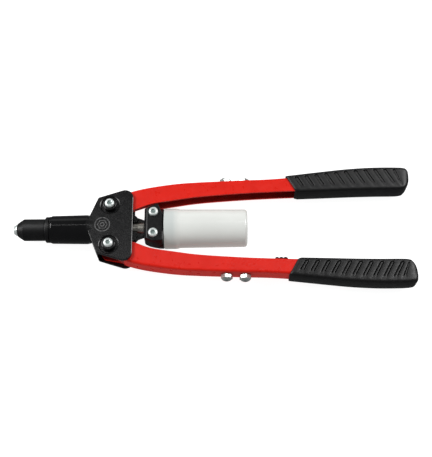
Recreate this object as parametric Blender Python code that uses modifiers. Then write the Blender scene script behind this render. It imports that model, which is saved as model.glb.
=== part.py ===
"""Long-arm hand riveter with a collecting bottle for spent mandrels.

The tool lies flat with its arms closed. +X runs from the nose to the grips, +Y is the right arm's side
and +Z is up. The origin is at the middle of the tool's outline, on the surface that it lies on.
"""
import math

import bmesh
import bpy
from mathutils import Matrix, Vector

MM = 0.001

# The axis of the barrel, draw bar and bottle lies this high. The bottle's collar touches the ground.
AXIS_Z = 22.2 * MM

# Clearances
GAP = 0.3 * MM
RUNNING = 0.15 * MM
# How far a cutter reaches past what it cuts
REACH = 30.0 * MM

# Nose, from the tip towards the head
TIP_X = -218.8 * MM
HOUSING_FRONT_X = -216.0 * MM
HOUSING_SHOULDER_X = -208.3 * MM
HOUSING_REAR_X = -170.0 * MM
HOUSING_RADIUS = 12.0 * MM
RING_FRONT_X = -183.8 * MM
BARREL_FRONT_X = -179.4 * MM
RING_RADIUS = 14.2 * MM
BARREL_RADIUS = 15.3 * MM
BARREL_ROOT_RADIUS = 16.0 * MM
BORE_RADIUS = 9.9 * MM
TIP_RADIUS = 5.1 * MM
TIP_CHAMFER = 0.6 * MM
NOSEPIECE_REAR_X = -205.0 * MM
NOSEPIECE_RADIUS = 6.0 * MM
MANDREL_HOLE_RADIUS = 2.1 * MM
THREAD_RADIUS = 11.4 * MM
RING_CHAMFER = 1.2 * MM

# Head: a fork with a flat cheek above and below the arms
HEAD_APEX_X = -137.4 * MM
HEAD_SHOULDER = (-126.0 * MM, 32.3 * MM)
HEAD_CORNER = (-95.5 * MM, 42.1 * MM)
HEAD_REAR_X = -87.8 * MM
HEAD_HALF_THICKNESS = 14.0 * MM
HEAD_CORNER_RADIUS = 7.0 * MM
HEAD_SMALL_RADIUS = 3.0 * MM
HEAD_FRONT_CHAMFER = 2.2 * MM
SLOT_HALF_HEIGHT = 10.4 * MM
SLOT_FRONT_X = -125.6 * MM
POCKET_RADIUS = 10.2 * MM
POCKET_DEPTH = 1.8 * MM

# Arm pivots
PIVOT = Vector((-113.0 * MM, 23.2 * MM))
PIVOT_PIN_RADIUS = 4.5 * MM
PIVOT_BUSH_RADIUS = 7.6 * MM
PIVOT_BUSH_TOP = 17.8 * MM
SCREW_HEAD_RADIUS = 5.3 * MM
SCREW_HEAD_HEIGHT = 3.1 * MM
SCREW_SHANK_RADIUS = 2.0 * MM
SOCKET_RADIUS = 2.3 * MM

# Toggle linkage: draw bar pin, arm pin and the links between them
CROSSHEAD_PIN = Vector((-86.0 * MM, 9.0 * MM))
CROSSHEAD_PIN_RADIUS = 2.0 * MM
LINK_CRANK = 10.0 * MM
LINK_CRANK_ANGLE = math.radians(20.0)
ARM_PIN_RADIUS = 2.5 * MM
ARM_PIN_CLEARANCE = 0.75 * MM
LINK_HALF_WIDTH = 3.4 * MM
LINK_EYE_RADIUS = 4.9 * MM
LINK_LOW_Z = 3.9 * MM
LINK_THICKNESS = 2.8 * MM

# Draw bar and jaws
SHANK_RADIUS = 7.5 * MM
BLOCK_FRONT_X = -97.0 * MM
BLOCK_REAR_X = -75.4 * MM
BLOCK_HALF_WIDTH = 12.6 * MM
BLOCK_REAR_HALF_WIDTH = 9.0 * MM
BLOCK_HALF_THICKNESS = 3.5 * MM
PASSAGE_RADIUS = 3.2 * MM
TUBE_RADIUS = 6.5 * MM
TUBE_SEAT_X = -91.0 * MM
TUBE_REAR_X = -58.0 * MM
COLLAR_FRONT_X = -81.8 * MM
COLLAR_RADIUS = 7.2 * MM
JAW_CASE_FRONT_X = -191.5 * MM
JAW_CASE_REAR_X = -150.0 * MM
JAW_CASE_RADIUS = 9.4 * MM
JAW_CONE_ANGLE = math.radians(8.0)
JAW_FRONT_X = -190.0 * MM
JAW_REAR_X = -174.5 * MM
JAW_CONE_FRONT_RADIUS = 3.6 * MM
JAW_COUNT = 3
PUSHER_REAR_X = -171.5 * MM

# Bottle holder and bottle
HOLDER_FRONT_X = -75.0 * MM
HOLDER_REAR_X = -54.0 * MM
HOLDER_RADIUS = 21.8 * MM
HOLDER_TOP_Z = 18.6 * MM
HOLDER_SCREW = Vector((-65.0 * MM, 12.2 * MM))
SPIGOT_REAR_X = -43.0 * MM
SPIGOT_RADIUS = 18.8 * MM
BOTTLE_FRONT_X = -53.6 * MM
BOTTLE_COLLAR_X = -39.6 * MM
BOTTLE_REAR_X = 37.2 * MM
BOTTLE_COLLAR_RADIUS = 22.2 * MM
BOTTLE_RADIUS = 21.2 * MM
BOTTLE_REAR_RADIUS = 20.6 * MM
BOTTLE_WALL = 1.6 * MM

# Arms: pressed channels with the web outside, open towards the bottle
ARM_HALF_THICKNESS = 10.0 * MM
SHEET = 2.2 * MM
ARM_BEND_RADIUS = 3.0 * MM
ARM_NOSE_RADIUS = 10.5 * MM
ARM_REAR_X = 200.0 * MM
# (x, outer y, inner y) along the arm, in mm; the grip hides it from x = 80
ARM_STATIONS = (
    (-97.0, 39.4, 15.9), (-85.0, 43.4, 19.7), (-67.5, 47.2, 26.2), (-41.0, 51.0, 30.8),
    (-15.0, 52.8, 34.5), (28.0, 54.6, 37.8), (68.0, 56.1, 39.8), (120.0, 60.6, 41.4),
    (160.0, 64.4, 42.8), (200.0, 65.6, 43.6),
)
# Plan outline of the clearance notch in the lower flange's inner edge, beside the bottle holder, in mm
ARM_NOTCH = ((-95.5, 5.0), (-95.5, 15.0), (-91.0, 24.6), (-66.0, 33.3), (-60.0, 27.0), (-60.0, 5.0))

# Grips
GRIP_HALF_THICKNESS = 11.8 * MM
GRIP_EDGE_RADIUS = 3.6 * MM
GRIP_REAR_X = 218.8 * MM
# (x, outer y, inner y) along the grip, in mm
GRIP_STATIONS = (
    (92.0, 60.3, 38.4), (120.0, 63.6, 39.2), (150.0, 66.8, 40.2), (178.0, 68.4, 40.8),
    (205.0, 68.4, 41.0),
)
GRIP_FRONT_OUTER = (80.5 * MM, 59.0 * MM)

# Spare nosepieces on the arms' webs
SPARE_X = (14.0 * MM, 34.0 * MM)
SPARE_HEX_RADIUS = 6.6 * MM
# (hexagon height, whole height) outside each web, front and rear; the right arm's sit deeper
SPARE_HEIGHTS = {
    1.0: ((2.8 * MM, 3.9 * MM), (1.3 * MM, 1.9 * MM)),
    -1.0: ((4.6 * MM, 6.4 * MM), (4.6 * MM, 6.4 * MM)),
}
SPARE_TIP_RADIUS = 4.6 * MM
SPARE_SHANK_RADIUS = 3.1 * MM
WELD_NUT_RADIUS = 5.2 * MM

ROUND_STEPS = 28
SMALL_STEPS = 14

COLOURS = {
    # name: (sRGB colour as 0 to 1, roughness, metallic)
    "gloss_black": ((0.024, 0.025, 0.028), 0.35, 0.0),
    "satin_black": ((0.030, 0.031, 0.034), 0.45, 0.4),
    "zinc": ((0.72, 0.74, 0.73), 0.28, 1.0),
    "steel": ((0.50, 0.50, 0.49), 0.30, 1.0),
    "dark_steel": ((0.20, 0.20, 0.21), 0.40, 1.0),
    "red_paint": ((0.72, 0.035, 0.018), 0.38, 0.0),
    "grip_rubber": ((0.022, 0.022, 0.024), 0.60, 0.0),
    "milky_plastic": ((0.80, 0.79, 0.77), 0.40, 0.0),
}


# ---------------------------------------------------------------- scene helpers

def clear_scene():
    for obj in list(bpy.data.objects):
        bpy.data.objects.remove(obj, do_unlink=True)


def new_collection(name):
    collection = bpy.data.collections.new(name)
    bpy.context.scene.collection.children.link(collection)
    return collection


def make_material(name):
    colour, roughness, metallic = COLOURS[name]
    material = bpy.data.materials.new(name)
    material.use_nodes = True
    shader = material.node_tree.nodes["Principled BSDF"]
    shader.inputs["Base Color"].default_value = (*colour, 1.0)
    shader.inputs["Roughness"].default_value = roughness
    shader.inputs["Metallic"].default_value = metallic
    return material


def finish(obj, name, material_name):
    """Name a finished piece, give it its material and smooth its round faces."""
    obj.name = name
    obj.data.name = name
    obj.data.materials.clear()
    obj.data.materials.append(materials[material_name])
    obj.data.shade_smooth()
    obj.data.set_sharp_from_angle(angle=math.radians(35.0))
    return obj


def new_object(name, mesh, collection=None):
    obj = bpy.data.objects.new(name, mesh)
    (collection or parts).objects.link(obj)
    return obj


def applied(obj):
    """Replace an object's mesh by its evaluated mesh, with its modifiers and its transform applied."""
    bpy.context.view_layer.update()
    depsgraph = bpy.context.evaluated_depsgraph_get()
    mesh = bpy.data.meshes.new_from_object(obj.evaluated_get(depsgraph))
    mesh.transform(obj.matrix_world)
    name = obj.name
    collection = obj.users_collection[0]
    bpy.data.objects.remove(obj, do_unlink=True)
    return new_object(name, mesh, collection)


def boolean(obj, other, operation):
    """Cut or join another solid, which is used up."""
    other.display_type = "WIRE"
    other.hide_render = True
    modifier = obj.modifiers.new(operation.title(), "BOOLEAN")
    modifier.operation = operation
    modifier.solver = "EXACT"
    modifier.object = other
    result = applied(obj)
    bpy.data.objects.remove(other, do_unlink=True)
    bm = bmesh.new()
    bm.from_mesh(result.data)
    bmesh.ops.remove_doubles(bm, verts=bm.verts, dist=0.000002)
    bmesh.ops.dissolve_degenerate(bm, edges=bm.edges, dist=0.000002)
    bmesh.ops.triangulate(bm, faces=bm.faces)
    bm.to_mesh(result.data)
    bm.free()
    return result


def cut(obj, *cutters):
    for cutter in cutters:
        obj = boolean(obj, cutter, "DIFFERENCE")
    return obj


def union(obj, *others):
    for other in others:
        obj = boolean(obj, other, "UNION")
    return obj


# ---------------------------------------------------------------- shapes

def turned(name, profile, steps=ROUND_STEPS, closed=False):
    """A solid turned about the tool's axis. The profile is (x, radius) from rear to front outside."""
    mesh = bpy.data.meshes.new(name)
    points = [(radius, 0.0, x) for x, radius in profile]
    edges = [(i, i + 1) for i in range(len(points) - 1)]
    if closed:
        edges.append((len(points) - 1, 0))
    mesh.from_pydata(points, edges, [])
    obj = new_object(name, mesh)
    obj.rotation_euler = (0.0, math.pi / 2.0, 0.0)
    obj.location.z = AXIS_Z
    screw = obj.modifiers.new("Screw", "SCREW")
    screw.steps = steps
    screw.render_steps = steps
    screw.use_merge_vertices = True
    screw.merge_threshold = 0.00001
    return applied(obj)


def tube(name, x_rear, x_front, outer, inner, steps=ROUND_STEPS):
    return turned(name, [(x_rear, outer), (x_front, outer), (x_front, inner), (x_rear, inner)], steps, True)


def cylinder(name, radius, low, high, place, steps=ROUND_STEPS, turn=0.0):
    """An upright cylinder between two heights above the tool's axis, at a place in plan."""
    mesh = bpy.data.meshes.new(name)
    bm = bmesh.new()
    bmesh.ops.create_cone(bm, cap_ends=True, segments=steps, radius1=radius, radius2=radius, depth=high - low)
    centre = Vector((place[0], place[1], AXIS_Z + (low + high) / 2.0))
    bmesh.ops.transform(bm, matrix=Matrix.Translation(centre) @ Matrix.Rotation(turn, 4, "Z"), verts=bm.verts)
    bm.to_mesh(mesh)
    bm.free()
    return new_object(name, mesh)


def box(name, low, high):
    """A box between two corners, with heights above the tool's axis."""
    mesh = bpy.data.meshes.new(name)
    bm = bmesh.new()
    bmesh.ops.create_cube(bm, size=1.0)
    size = [h - l for l, h in zip(low, high)]
    centre = Vector([(l + h) / 2.0 for l, h in zip(low, high)]) + Vector((0.0, 0.0, AXIS_Z))
    bmesh.ops.scale(bm, vec=size, verts=bm.verts)
    bmesh.ops.translate(bm, vec=centre, verts=bm.verts)
    bm.to_mesh(mesh)
    bm.free()
    return new_object(name, mesh)


def plate(name, outline, low, high):
    """A flat plate from a plan outline, between two heights above the tool's axis."""
    curve = bpy.data.curves.new(name, "CURVE")
    curve.dimensions = "2D"
    curve.fill_mode = "BOTH"
    curve.extrude = (high - low) / 2.0
    spline = curve.splines.new("POLY")
    spline.points.add(len(outline) - 1)
    for point, (x, y) in zip(spline.points, outline):
        point.co = (x, y, 0.0, 1.0)
    spline.use_cyclic_u = True
    obj = new_object(name, curve)
    obj.location.z = AXIS_Z + (low + high) / 2.0
    obj = applied(obj)
    bm = bmesh.new()
    bm.from_mesh(obj.data)
    bmesh.ops.remove_doubles(bm, verts=bm.verts, dist=0.00001)
    bmesh.ops.dissolve_limit(bm, angle_limit=math.radians(0.5), verts=bm.verts, edges=bm.edges)
    bmesh.ops.recalc_face_normals(bm, faces=bm.faces)
    bm.to_mesh(obj.data)
    bm.free()
    return obj


def arc(centre, radius, start, end, count):
    """Points on an arc, with angles in degrees."""
    angles = [math.radians(start + (end - start) * i / (count - 1)) for i in range(count)]
    return [(centre[0] + radius * math.cos(a), centre[1] + radius * math.sin(a)) for a in angles]


def rounded(outline, radii, count=5):
    """An outline with its corners rounded; a radius of 0 keeps a corner sharp."""
    points = []
    total = len(outline)
    for i, (corner, radius) in enumerate(zip(outline, radii)):
        here = Vector(corner)
        if radius == 0.0:
            points.append(tuple(here))
            continue
        before = (Vector(outline[i - 1]) - here).normalized()
        after = (Vector(outline[(i + 1) % total]) - here).normalized()
        half = before.angle(after) / 2.0
        centre = here + (before + after).normalized() * (radius / math.sin(half))
        start = here + before * (radius / math.tan(half)) - centre
        end = here + after * (radius / math.tan(half)) - centre
        sweep = start.angle_signed(end)
        for k in range(count):
            turn = Matrix.Rotation(-sweep * k / (count - 1), 2)
            points.append(tuple(centre + turn @ start))
    return points


def smooth_line(knots, per_span=2):
    """A Catmull-Rom curve through the knots."""
    ends = [knots[0]] + list(knots) + [knots[-1]]
    points = []
    for i in range(1, len(ends) - 2):
        p0, p1, p2, p3 = (Vector(p) for p in ends[i - 1:i + 3])
        for k in range(per_span):
            t = k / per_span
            point = 0.5 * (2.0 * p1 + (p2 - p0) * t + (2.0 * p0 - 5.0 * p1 + 4.0 * p2 - p3) * t ** 2
                           + (3.0 * p1 - p0 - 3.0 * p2 + p3) * t ** 3)
            points.append(tuple(point))
    points.append(tuple(knots[-1]))
    return points


def bevel_edges(obj, radius, wanted, segments=3):
    """Round the edges for which wanted(edge's two ends) is true."""
    bm = bmesh.new()
    bm.from_mesh(obj.data)
    edges = [edge for edge in bm.edges if wanted(edge.verts[0].co, edge.verts[1].co)]
    bmesh.ops.bevel(bm, geom=edges, offset=radius, segments=segments, profile=0.5, affect="EDGES")
    bm.to_mesh(obj.data)
    bm.free()
    return obj


def mirrored(obj, name):
    """The same piece on the left arm's side."""
    mesh = obj.data.copy()
    bm = bmesh.new()
    bm.from_mesh(mesh)
    bmesh.ops.scale(bm, vec=(1.0, -1.0, 1.0), verts=bm.verts)
    bmesh.ops.reverse_faces(bm, faces=bm.faces)
    bm.to_mesh(mesh)
    bm.free()
    return new_object(name, mesh)


def both_sides(stem, piece, material_name):
    """Name a right-hand piece and add its left-hand copy."""
    left = mirrored(piece, "left_" + stem)
    finish(piece, "right_" + stem, material_name)
    finish(left, "left_" + stem, material_name)


def side_profile(stations):
    """The outer and inner plan lines through stations in mm."""
    outer = [(x * MM, y * MM) for x, y, _ in stations]
    inner = [(x * MM, y * MM) for x, _, y in stations]
    return outer, inner


# ---------------------------------------------------------------- nose

def make_nosepiece():
    rear = NOSEPIECE_REAR_X
    shoulder = HOUSING_FRONT_X - GAP
    profile = [
        (rear, NOSEPIECE_RADIUS), (shoulder, NOSEPIECE_RADIUS), (shoulder, TIP_RADIUS),
        (TIP_X + TIP_CHAMFER, TIP_RADIUS), (TIP_X, TIP_RADIUS - TIP_CHAMFER), (TIP_X, MANDREL_HOLE_RADIUS),
        (rear, MANDREL_HOLE_RADIUS),
    ]
    finish(turned("nosepiece", profile, SMALL_STEPS, True), "nosepiece", "zinc")


def make_nose_housing():
    nose_seat = NOSEPIECE_RADIUS + GAP
    seat_rear = NOSEPIECE_REAR_X + GAP
    front_radius = 7.0 * MM
    thread_end = RING_FRONT_X - 0.7 * MM
    bend = [(HOUSING_SHOULDER_X, HOUSING_RADIUS), (-212.0 * MM, 9.6 * MM), (-214.8 * MM, 7.7 * MM)]
    profile = [
        (HOUSING_REAR_X, THREAD_RADIUS), (thread_end, THREAD_RADIUS), (thread_end, HOUSING_RADIUS), *bend,
        (HOUSING_FRONT_X, front_radius), (HOUSING_FRONT_X, nose_seat), (seat_rear, nose_seat),
        (seat_rear, BORE_RADIUS), (HOUSING_REAR_X, BORE_RADIUS),
    ]
    finish(turned("nose_housing", profile, ROUND_STEPS, True), "nose_housing", "satin_black")


def make_lock_ring():
    inner = THREAD_RADIUS + GAP
    rear = BARREL_FRONT_X - GAP
    profile = [
        (rear, RING_RADIUS), (RING_FRONT_X + RING_CHAMFER, RING_RADIUS),
        (RING_FRONT_X, RING_RADIUS - RING_CHAMFER), (RING_FRONT_X, inner), (rear, inner),
    ]
    finish(turned("lock_ring", profile, ROUND_STEPS, True), "lock_ring", "satin_black")


# ---------------------------------------------------------------- head

def head_outline():
    """The cheeks' plan outline, blunt where the barrel runs into it."""
    blunt = 4.0 * MM
    rear_half = HEAD_CORNER[1] - 4.0 * MM
    right_side = [(HEAD_REAR_X, rear_half), HEAD_CORNER, HEAD_SHOULDER, (HEAD_APEX_X, blunt)]
    left_side = [(x, -y) for x, y in reversed(right_side)]
    radii = [HEAD_SMALL_RADIUS, HEAD_CORNER_RADIUS, HEAD_SMALL_RADIUS, 2.0 * MM]
    return rounded(left_side + right_side, list(reversed(radii)) + radii, 4)


def make_barrel():
    """The round barrel, with a lip at its front, running back into the cheeks."""
    root = HEAD_APEX_X + 12.0 * MM
    lip_depth = 2.0 * MM
    return turned("barrel", [
        (root, 0.0), (root, BARREL_RADIUS - lip_depth), (HEAD_APEX_X - 0.8 * MM, BARREL_ROOT_RADIUS),
        (BARREL_FRONT_X + 3.0 * MM, BARREL_RADIUS), (BARREL_FRONT_X + 0.9 * MM, BARREL_RADIUS - 0.7 * MM),
        (BARREL_FRONT_X, BARREL_RADIUS - lip_depth), (BARREL_FRONT_X, 0.0),
    ])


def slot_cutter():
    rear = -60.0 * MM
    wide = 60.0 * MM
    outline = [(SLOT_FRONT_X, -wide), (rear, -wide), (rear, wide), (SLOT_FRONT_X, wide)]
    return plate("slot", outline, -SLOT_HALF_HEIGHT, SLOT_HALF_HEIGHT)


def bore_cutter():
    """The draw bar's bore, with the nose housing's threaded seat at the front."""
    rear = -110.0 * MM
    front = -190.0 * MM
    seat_rear = HOUSING_REAR_X + 1.0 * MM
    seat_radius = THREAD_RADIUS + GAP
    return turned("bore", [(rear, 0.0), (rear, BORE_RADIUS), (seat_rear, BORE_RADIUS), (seat_rear, seat_radius),
                           (front, seat_radius), (front, 0.0)])


def make_head():
    head = plate("head_body", head_outline(), -HEAD_HALF_THICKNESS, HEAD_HALF_THICKNESS)
    top = AXIS_Z + HEAD_HALF_THICKNESS
    bottom = AXIS_Z - HEAD_HALF_THICKNESS

    def front_edge(a, b):
        flat = abs(a.z - b.z) < GAP and (abs(a.z - top) < GAP or abs(a.z - bottom) < GAP)
        return flat and max(a.x, b.x) < HEAD_SHOULDER[0] and (a - b).length > 5.0 * MM

    head = bevel_edges(head, HEAD_FRONT_CHAMFER, front_edge, 1)
    head = cut(union(head, make_barrel()), slot_cutter(), bore_cutter())
    floor = HEAD_HALF_THICKNESS - POCKET_DEPTH
    for side in (1.0, -1.0):
        place = (PIVOT.x, side * PIVOT.y)
        pin_hole = cylinder("pin_hole", PIVOT_PIN_RADIUS + GAP, -REACH, REACH, place)
        pocket_top = cylinder("pocket_top", POCKET_RADIUS, floor, REACH, place)
        pocket_bottom = cylinder("pocket_bottom", POCKET_RADIUS, -REACH, -floor, place)
        head = cut(head, pin_hole, pocket_top, pocket_bottom)
    finish(head, "head_body", "gloss_black")


def make_button_screw(name, place, seat, up, length):
    """A button-head socket screw with its seat at a height and its head up or down."""
    sign = 1.0 if up else -1.0
    mesh = bpy.data.meshes.new(name)
    dome = [(SCREW_HEAD_RADIUS * math.cos(a), SCREW_HEAD_HEIGHT * math.sin(a))
            for a in (math.radians(v) for v in (62.0, 36.0, 10.0))]
    points = [(0.0, dome[0][1]), *dome, (SCREW_HEAD_RADIUS, 0.0), (SCREW_SHANK_RADIUS, 0.0),
              (SCREW_SHANK_RADIUS, -length), (0.0, -length)]
    mesh.from_pydata([(x, 0.0, z) for x, z in points], [(i, i + 1) for i in range(len(points) - 1)], [])
    obj = new_object(name, mesh)
    obj.location = (place[0], place[1], AXIS_Z + seat)
    if not up:
        obj.rotation_euler = (math.pi, 0.0, 0.0)
    screw = obj.modifiers.new("Screw", "SCREW")
    screw.steps = SMALL_STEPS
    screw.render_steps = SMALL_STEPS
    screw.use_merge_vertices = True
    screw.merge_threshold = 0.00001
    obj = applied(obj)
    socket_floor = seat + sign * (SCREW_HEAD_HEIGHT - 1.9 * MM)
    socket_end = seat + sign * (SCREW_HEAD_HEIGHT + 3.0 * MM)
    socket = cylinder("socket", SOCKET_RADIUS, min(socket_floor, socket_end), max(socket_floor, socket_end),
                      place, 6)
    return cut(obj, socket)


def make_pivot():
    place = tuple(PIVOT)
    bush_top = PIVOT_BUSH_TOP
    pin_half = bush_top - 0.4 * MM
    pin = cylinder("pin", PIVOT_PIN_RADIUS, -pin_half, pin_half, place)
    for sign in (1.0, -1.0):
        ends = sorted((sign * (pin_half - 9.0 * MM), sign * REACH))
        pin = cut(pin, cylinder("thread", SCREW_SHANK_RADIUS + GAP, ends[0], ends[1], place, SMALL_STEPS))
    both_sides("pivot_pin", pin, "steel")
    for level, sign in (("top", 1.0), ("bottom", -1.0)):
        floor = HEAD_HALF_THICKNESS - POCKET_DEPTH + GAP
        ends = sorted((sign * floor, sign * bush_top))
        bush = cylinder("bush", PIVOT_BUSH_RADIUS, ends[0], ends[1], place)
        hole = cylinder("hole", PIVOT_PIN_RADIUS + GAP, ends[0] - 5.0 * MM, ends[1] + 5.0 * MM, place)
        both_sides("pivot_bush_" + level, cut(bush, hole), "gloss_black")
        screw = make_button_screw("screw", place, sign * (bush_top + GAP), sign > 0.0, 7.0 * MM)
        both_sides("pivot_screw_" + level, screw, "zinc")


# ---------------------------------------------------------------- draw bar and linkage

def link_pin_place():
    return (PIVOT.x + LINK_CRANK * math.cos(LINK_CRANK_ANGLE), PIVOT.y + LINK_CRANK * math.sin(LINK_CRANK_ANGLE))


def passage_cutter():
    """The way for spent mandrels, with seats for the mandrel tube and its collar."""
    rear = -60.0 * MM
    front = -180.0 * MM
    collar_seat = COLLAR_FRONT_X - GAP
    tube_seat = TUBE_RADIUS + RUNNING
    return turned("passage", [(rear, 0.0), (rear, COLLAR_RADIUS + GAP), (collar_seat, COLLAR_RADIUS + GAP),
                              (collar_seat, tube_seat), (TUBE_SEAT_X, tube_seat), (TUBE_SEAT_X, PASSAGE_RADIUS),
                              (front, PASSAGE_RADIUS), (front, 0.0)])


def make_draw_bar():
    flank_x = -85.0 * MM
    right_side = [(BLOCK_REAR_X, BLOCK_REAR_HALF_WIDTH), (flank_x, BLOCK_HALF_WIDTH),
                  (BLOCK_FRONT_X, BLOCK_HALF_WIDTH)]
    left_side = [(x, -y) for x, y in reversed(right_side)]
    corner = 3.0 * MM
    outline = rounded(left_side + right_side, [corner, corner, 0.0, 0.0, corner, corner], 4)
    block = plate("block", outline, -BLOCK_HALF_THICKNESS, BLOCK_HALF_THICKNESS)
    shank_rear = -88.0 * MM
    shank_front = JAW_CASE_REAR_X - 12.0 * MM
    shank = turned("shank", [(shank_rear, 0.0), (shank_rear, SHANK_RADIUS - 1.5 * MM), (-99.0 * MM, SHANK_RADIUS),
                             (shank_front, SHANK_RADIUS), (shank_front, 0.0)])
    bar = cut(union(block, shank), passage_cutter())
    for side in (1.0, -1.0):
        place = (CROSSHEAD_PIN.x, side * CROSSHEAD_PIN.y)
        hole = cylinder("hole", CROSSHEAD_PIN_RADIUS + RUNNING, -REACH, REACH, place, SMALL_STEPS)
        bar = cut(bar, hole)
    finish(bar, "draw_bar", "gloss_black")
    mandrel_tube = tube("mandrel_tube", TUBE_REAR_X, TUBE_SEAT_X + GAP, TUBE_RADIUS, PASSAGE_RADIUS + 0.8 * MM)
    finish(mandrel_tube, "mandrel_tube", "steel")
    pin_half = LINK_LOW_Z + LINK_THICKNESS + 0.4 * MM
    pin = cylinder("pin", CROSSHEAD_PIN_RADIUS, -pin_half, pin_half, tuple(CROSSHEAD_PIN), SMALL_STEPS)
    both_sides("crosshead_pin", pin, "steel")


def make_links():
    """A pair of flat links on each side, above and below the draw bar's block.

    Each link necks down behind its round eye, to pass beside the pivot pin with the arms open.
    """
    start = CROSSHEAD_PIN
    end = Vector(link_pin_place())
    along = end - start
    angle = math.degrees(math.atan2(along.y, along.x))
    outline = arc(start, LINK_HALF_WIDTH, angle + 90.0, angle + 270.0, 9)
    outline += arc(end, LINK_EYE_RADIUS, angle - 140.0, angle + 140.0, 15)
    for level, low in (("top", LINK_LOW_Z), ("bottom", -LINK_LOW_Z - LINK_THICKNESS)):
        link = plate("link", outline, low, low + LINK_THICKNESS)
        near = cylinder("near", CROSSHEAD_PIN_RADIUS + RUNNING, -REACH, REACH, tuple(start), SMALL_STEPS)
        far = cylinder("far", ARM_PIN_RADIUS + ARM_PIN_CLEARANCE, -REACH, REACH, tuple(end), SMALL_STEPS)
        both_sides("toggle_link_" + level, cut(link, near, far), "dark_steel")


def make_draw_collar():
    collar = tube("draw_collar", -76.0 * MM, COLLAR_FRONT_X, COLLAR_RADIUS, TUBE_RADIUS + RUNNING)
    finish(collar, "draw_collar", "zinc")


def cone_radius(x):
    """The jaw case's conical bore at x."""
    return JAW_CONE_FRONT_RADIUS + (x - JAW_CASE_FRONT_X) * math.tan(JAW_CONE_ANGLE)


def make_jaw_case():
    rear = JAW_CASE_REAR_X
    front = JAW_CASE_FRONT_X
    deep = -172.0 * MM
    spring_radius = 7.0 * MM
    spring_rear = -162.5 * MM
    shank_seat = SHANK_RADIUS + GAP
    profile = [
        (rear, JAW_CASE_RADIUS), (front, JAW_CASE_RADIUS), (front, JAW_CONE_FRONT_RADIUS),
        (deep, cone_radius(deep)), (deep, spring_radius), (spring_rear, spring_radius),
        (spring_rear, shank_seat), (rear, shank_seat),
    ]
    finish(turned("jaw_case", profile, ROUND_STEPS, True), "jaw_case", "dark_steel")


def split_off(obj, away):
    """Cut away what lies beyond a plane beside the tool's axis, and close the cut."""
    bm = bmesh.new()
    bm.from_mesh(obj.data)
    centre = Vector((0.0, 0.0, AXIS_Z)) - away * GAP
    result = bmesh.ops.bisect_plane(bm, geom=bm.verts[:] + bm.edges[:] + bm.faces[:], plane_co=centre,
                                    plane_no=away, clear_outer=True, dist=0.000001)
    rim = [item for item in result["geom_cut"] if isinstance(item, bmesh.types.BMEdge)]
    bmesh.ops.holes_fill(bm, edges=rim, sides=0)
    bmesh.ops.recalc_face_normals(bm, faces=bm.faces)
    bm.to_mesh(obj.data)
    bm.free()


def make_jaws():
    """Wedge jaws round the mandrel, and the pusher and spring behind them."""
    make_jaw_case()
    bite = 1.1 * MM
    half = math.pi / JAW_COUNT
    for index in range(JAW_COUNT):
        jaw = turned("jaw", [(JAW_REAR_X, cone_radius(JAW_REAR_X) - GAP),
                             (JAW_FRONT_X, cone_radius(JAW_FRONT_X) - GAP),
                             (JAW_FRONT_X, bite), (JAW_REAR_X, bite)], SMALL_STEPS, True)
        middle = index * 2.0 * math.pi / JAW_COUNT
        for sign in (1.0, -1.0):
            away = middle + sign * (half + math.pi / 2.0)
            split_off(jaw, Vector((0.0, math.cos(away), math.sin(away))))
        finish(jaw, "jaw_" + str(index + 1), "steel")
    rear = PUSHER_REAR_X
    front = JAW_REAR_X + GAP
    outer = 4.0 * MM
    inner = 1.6 * MM
    profile = [(rear, outer), (front, outer), (front, inner), (rear, inner)]
    finish(turned("jaw_pusher", profile, SMALL_STEPS, True), "jaw_pusher", "steel")
    make_spring(rear + GAP, JAW_CASE_REAR_X - 12.0 * MM - GAP)


def make_spring(front, rear):
    wire = 0.45 * MM
    coil = 3.4 * MM
    turns = 3
    per_turn = 9
    total = turns * per_turn
    curve = bpy.data.curves.new("jaw_spring", "CURVE")
    curve.dimensions = "3D"
    curve.bevel_depth = wire
    curve.bevel_resolution = 2
    curve.use_fill_caps = True
    spline = curve.splines.new("POLY")
    spline.points.add(total)
    for i, point in enumerate(spline.points):
        angle = 2.0 * math.pi * i / per_turn
        x = front + wire + (rear - front - 2.0 * wire) * i / total
        point.co = (x, coil * math.cos(angle), AXIS_Z + coil * math.sin(angle), 1.0)
    obj = applied(new_object("jaw_spring", curve))
    bm = bmesh.new()
    bm.from_mesh(obj.data)
    bmesh.ops.remove_doubles(bm, verts=bm.verts, dist=0.00001)
    bmesh.ops.recalc_face_normals(bm, faces=bm.faces)
    bm.to_mesh(obj.data)
    bm.free()
    finish(obj, "jaw_spring", "steel")


# ---------------------------------------------------------------- bottle holder and bottle

def holder_hollow():
    """The mandrels' way through the holder: the tube's hole, opening into the spigot."""
    rear = -30.0 * MM
    front = -90.0 * MM
    step = -57.0 * MM
    bore = 17.2 * MM
    hole = TUBE_RADIUS + RUNNING
    return turned("hollow", [(rear, 0.0), (rear, bore), (step, bore), (step, hole), (front, hole), (front, 0.0)])


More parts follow.
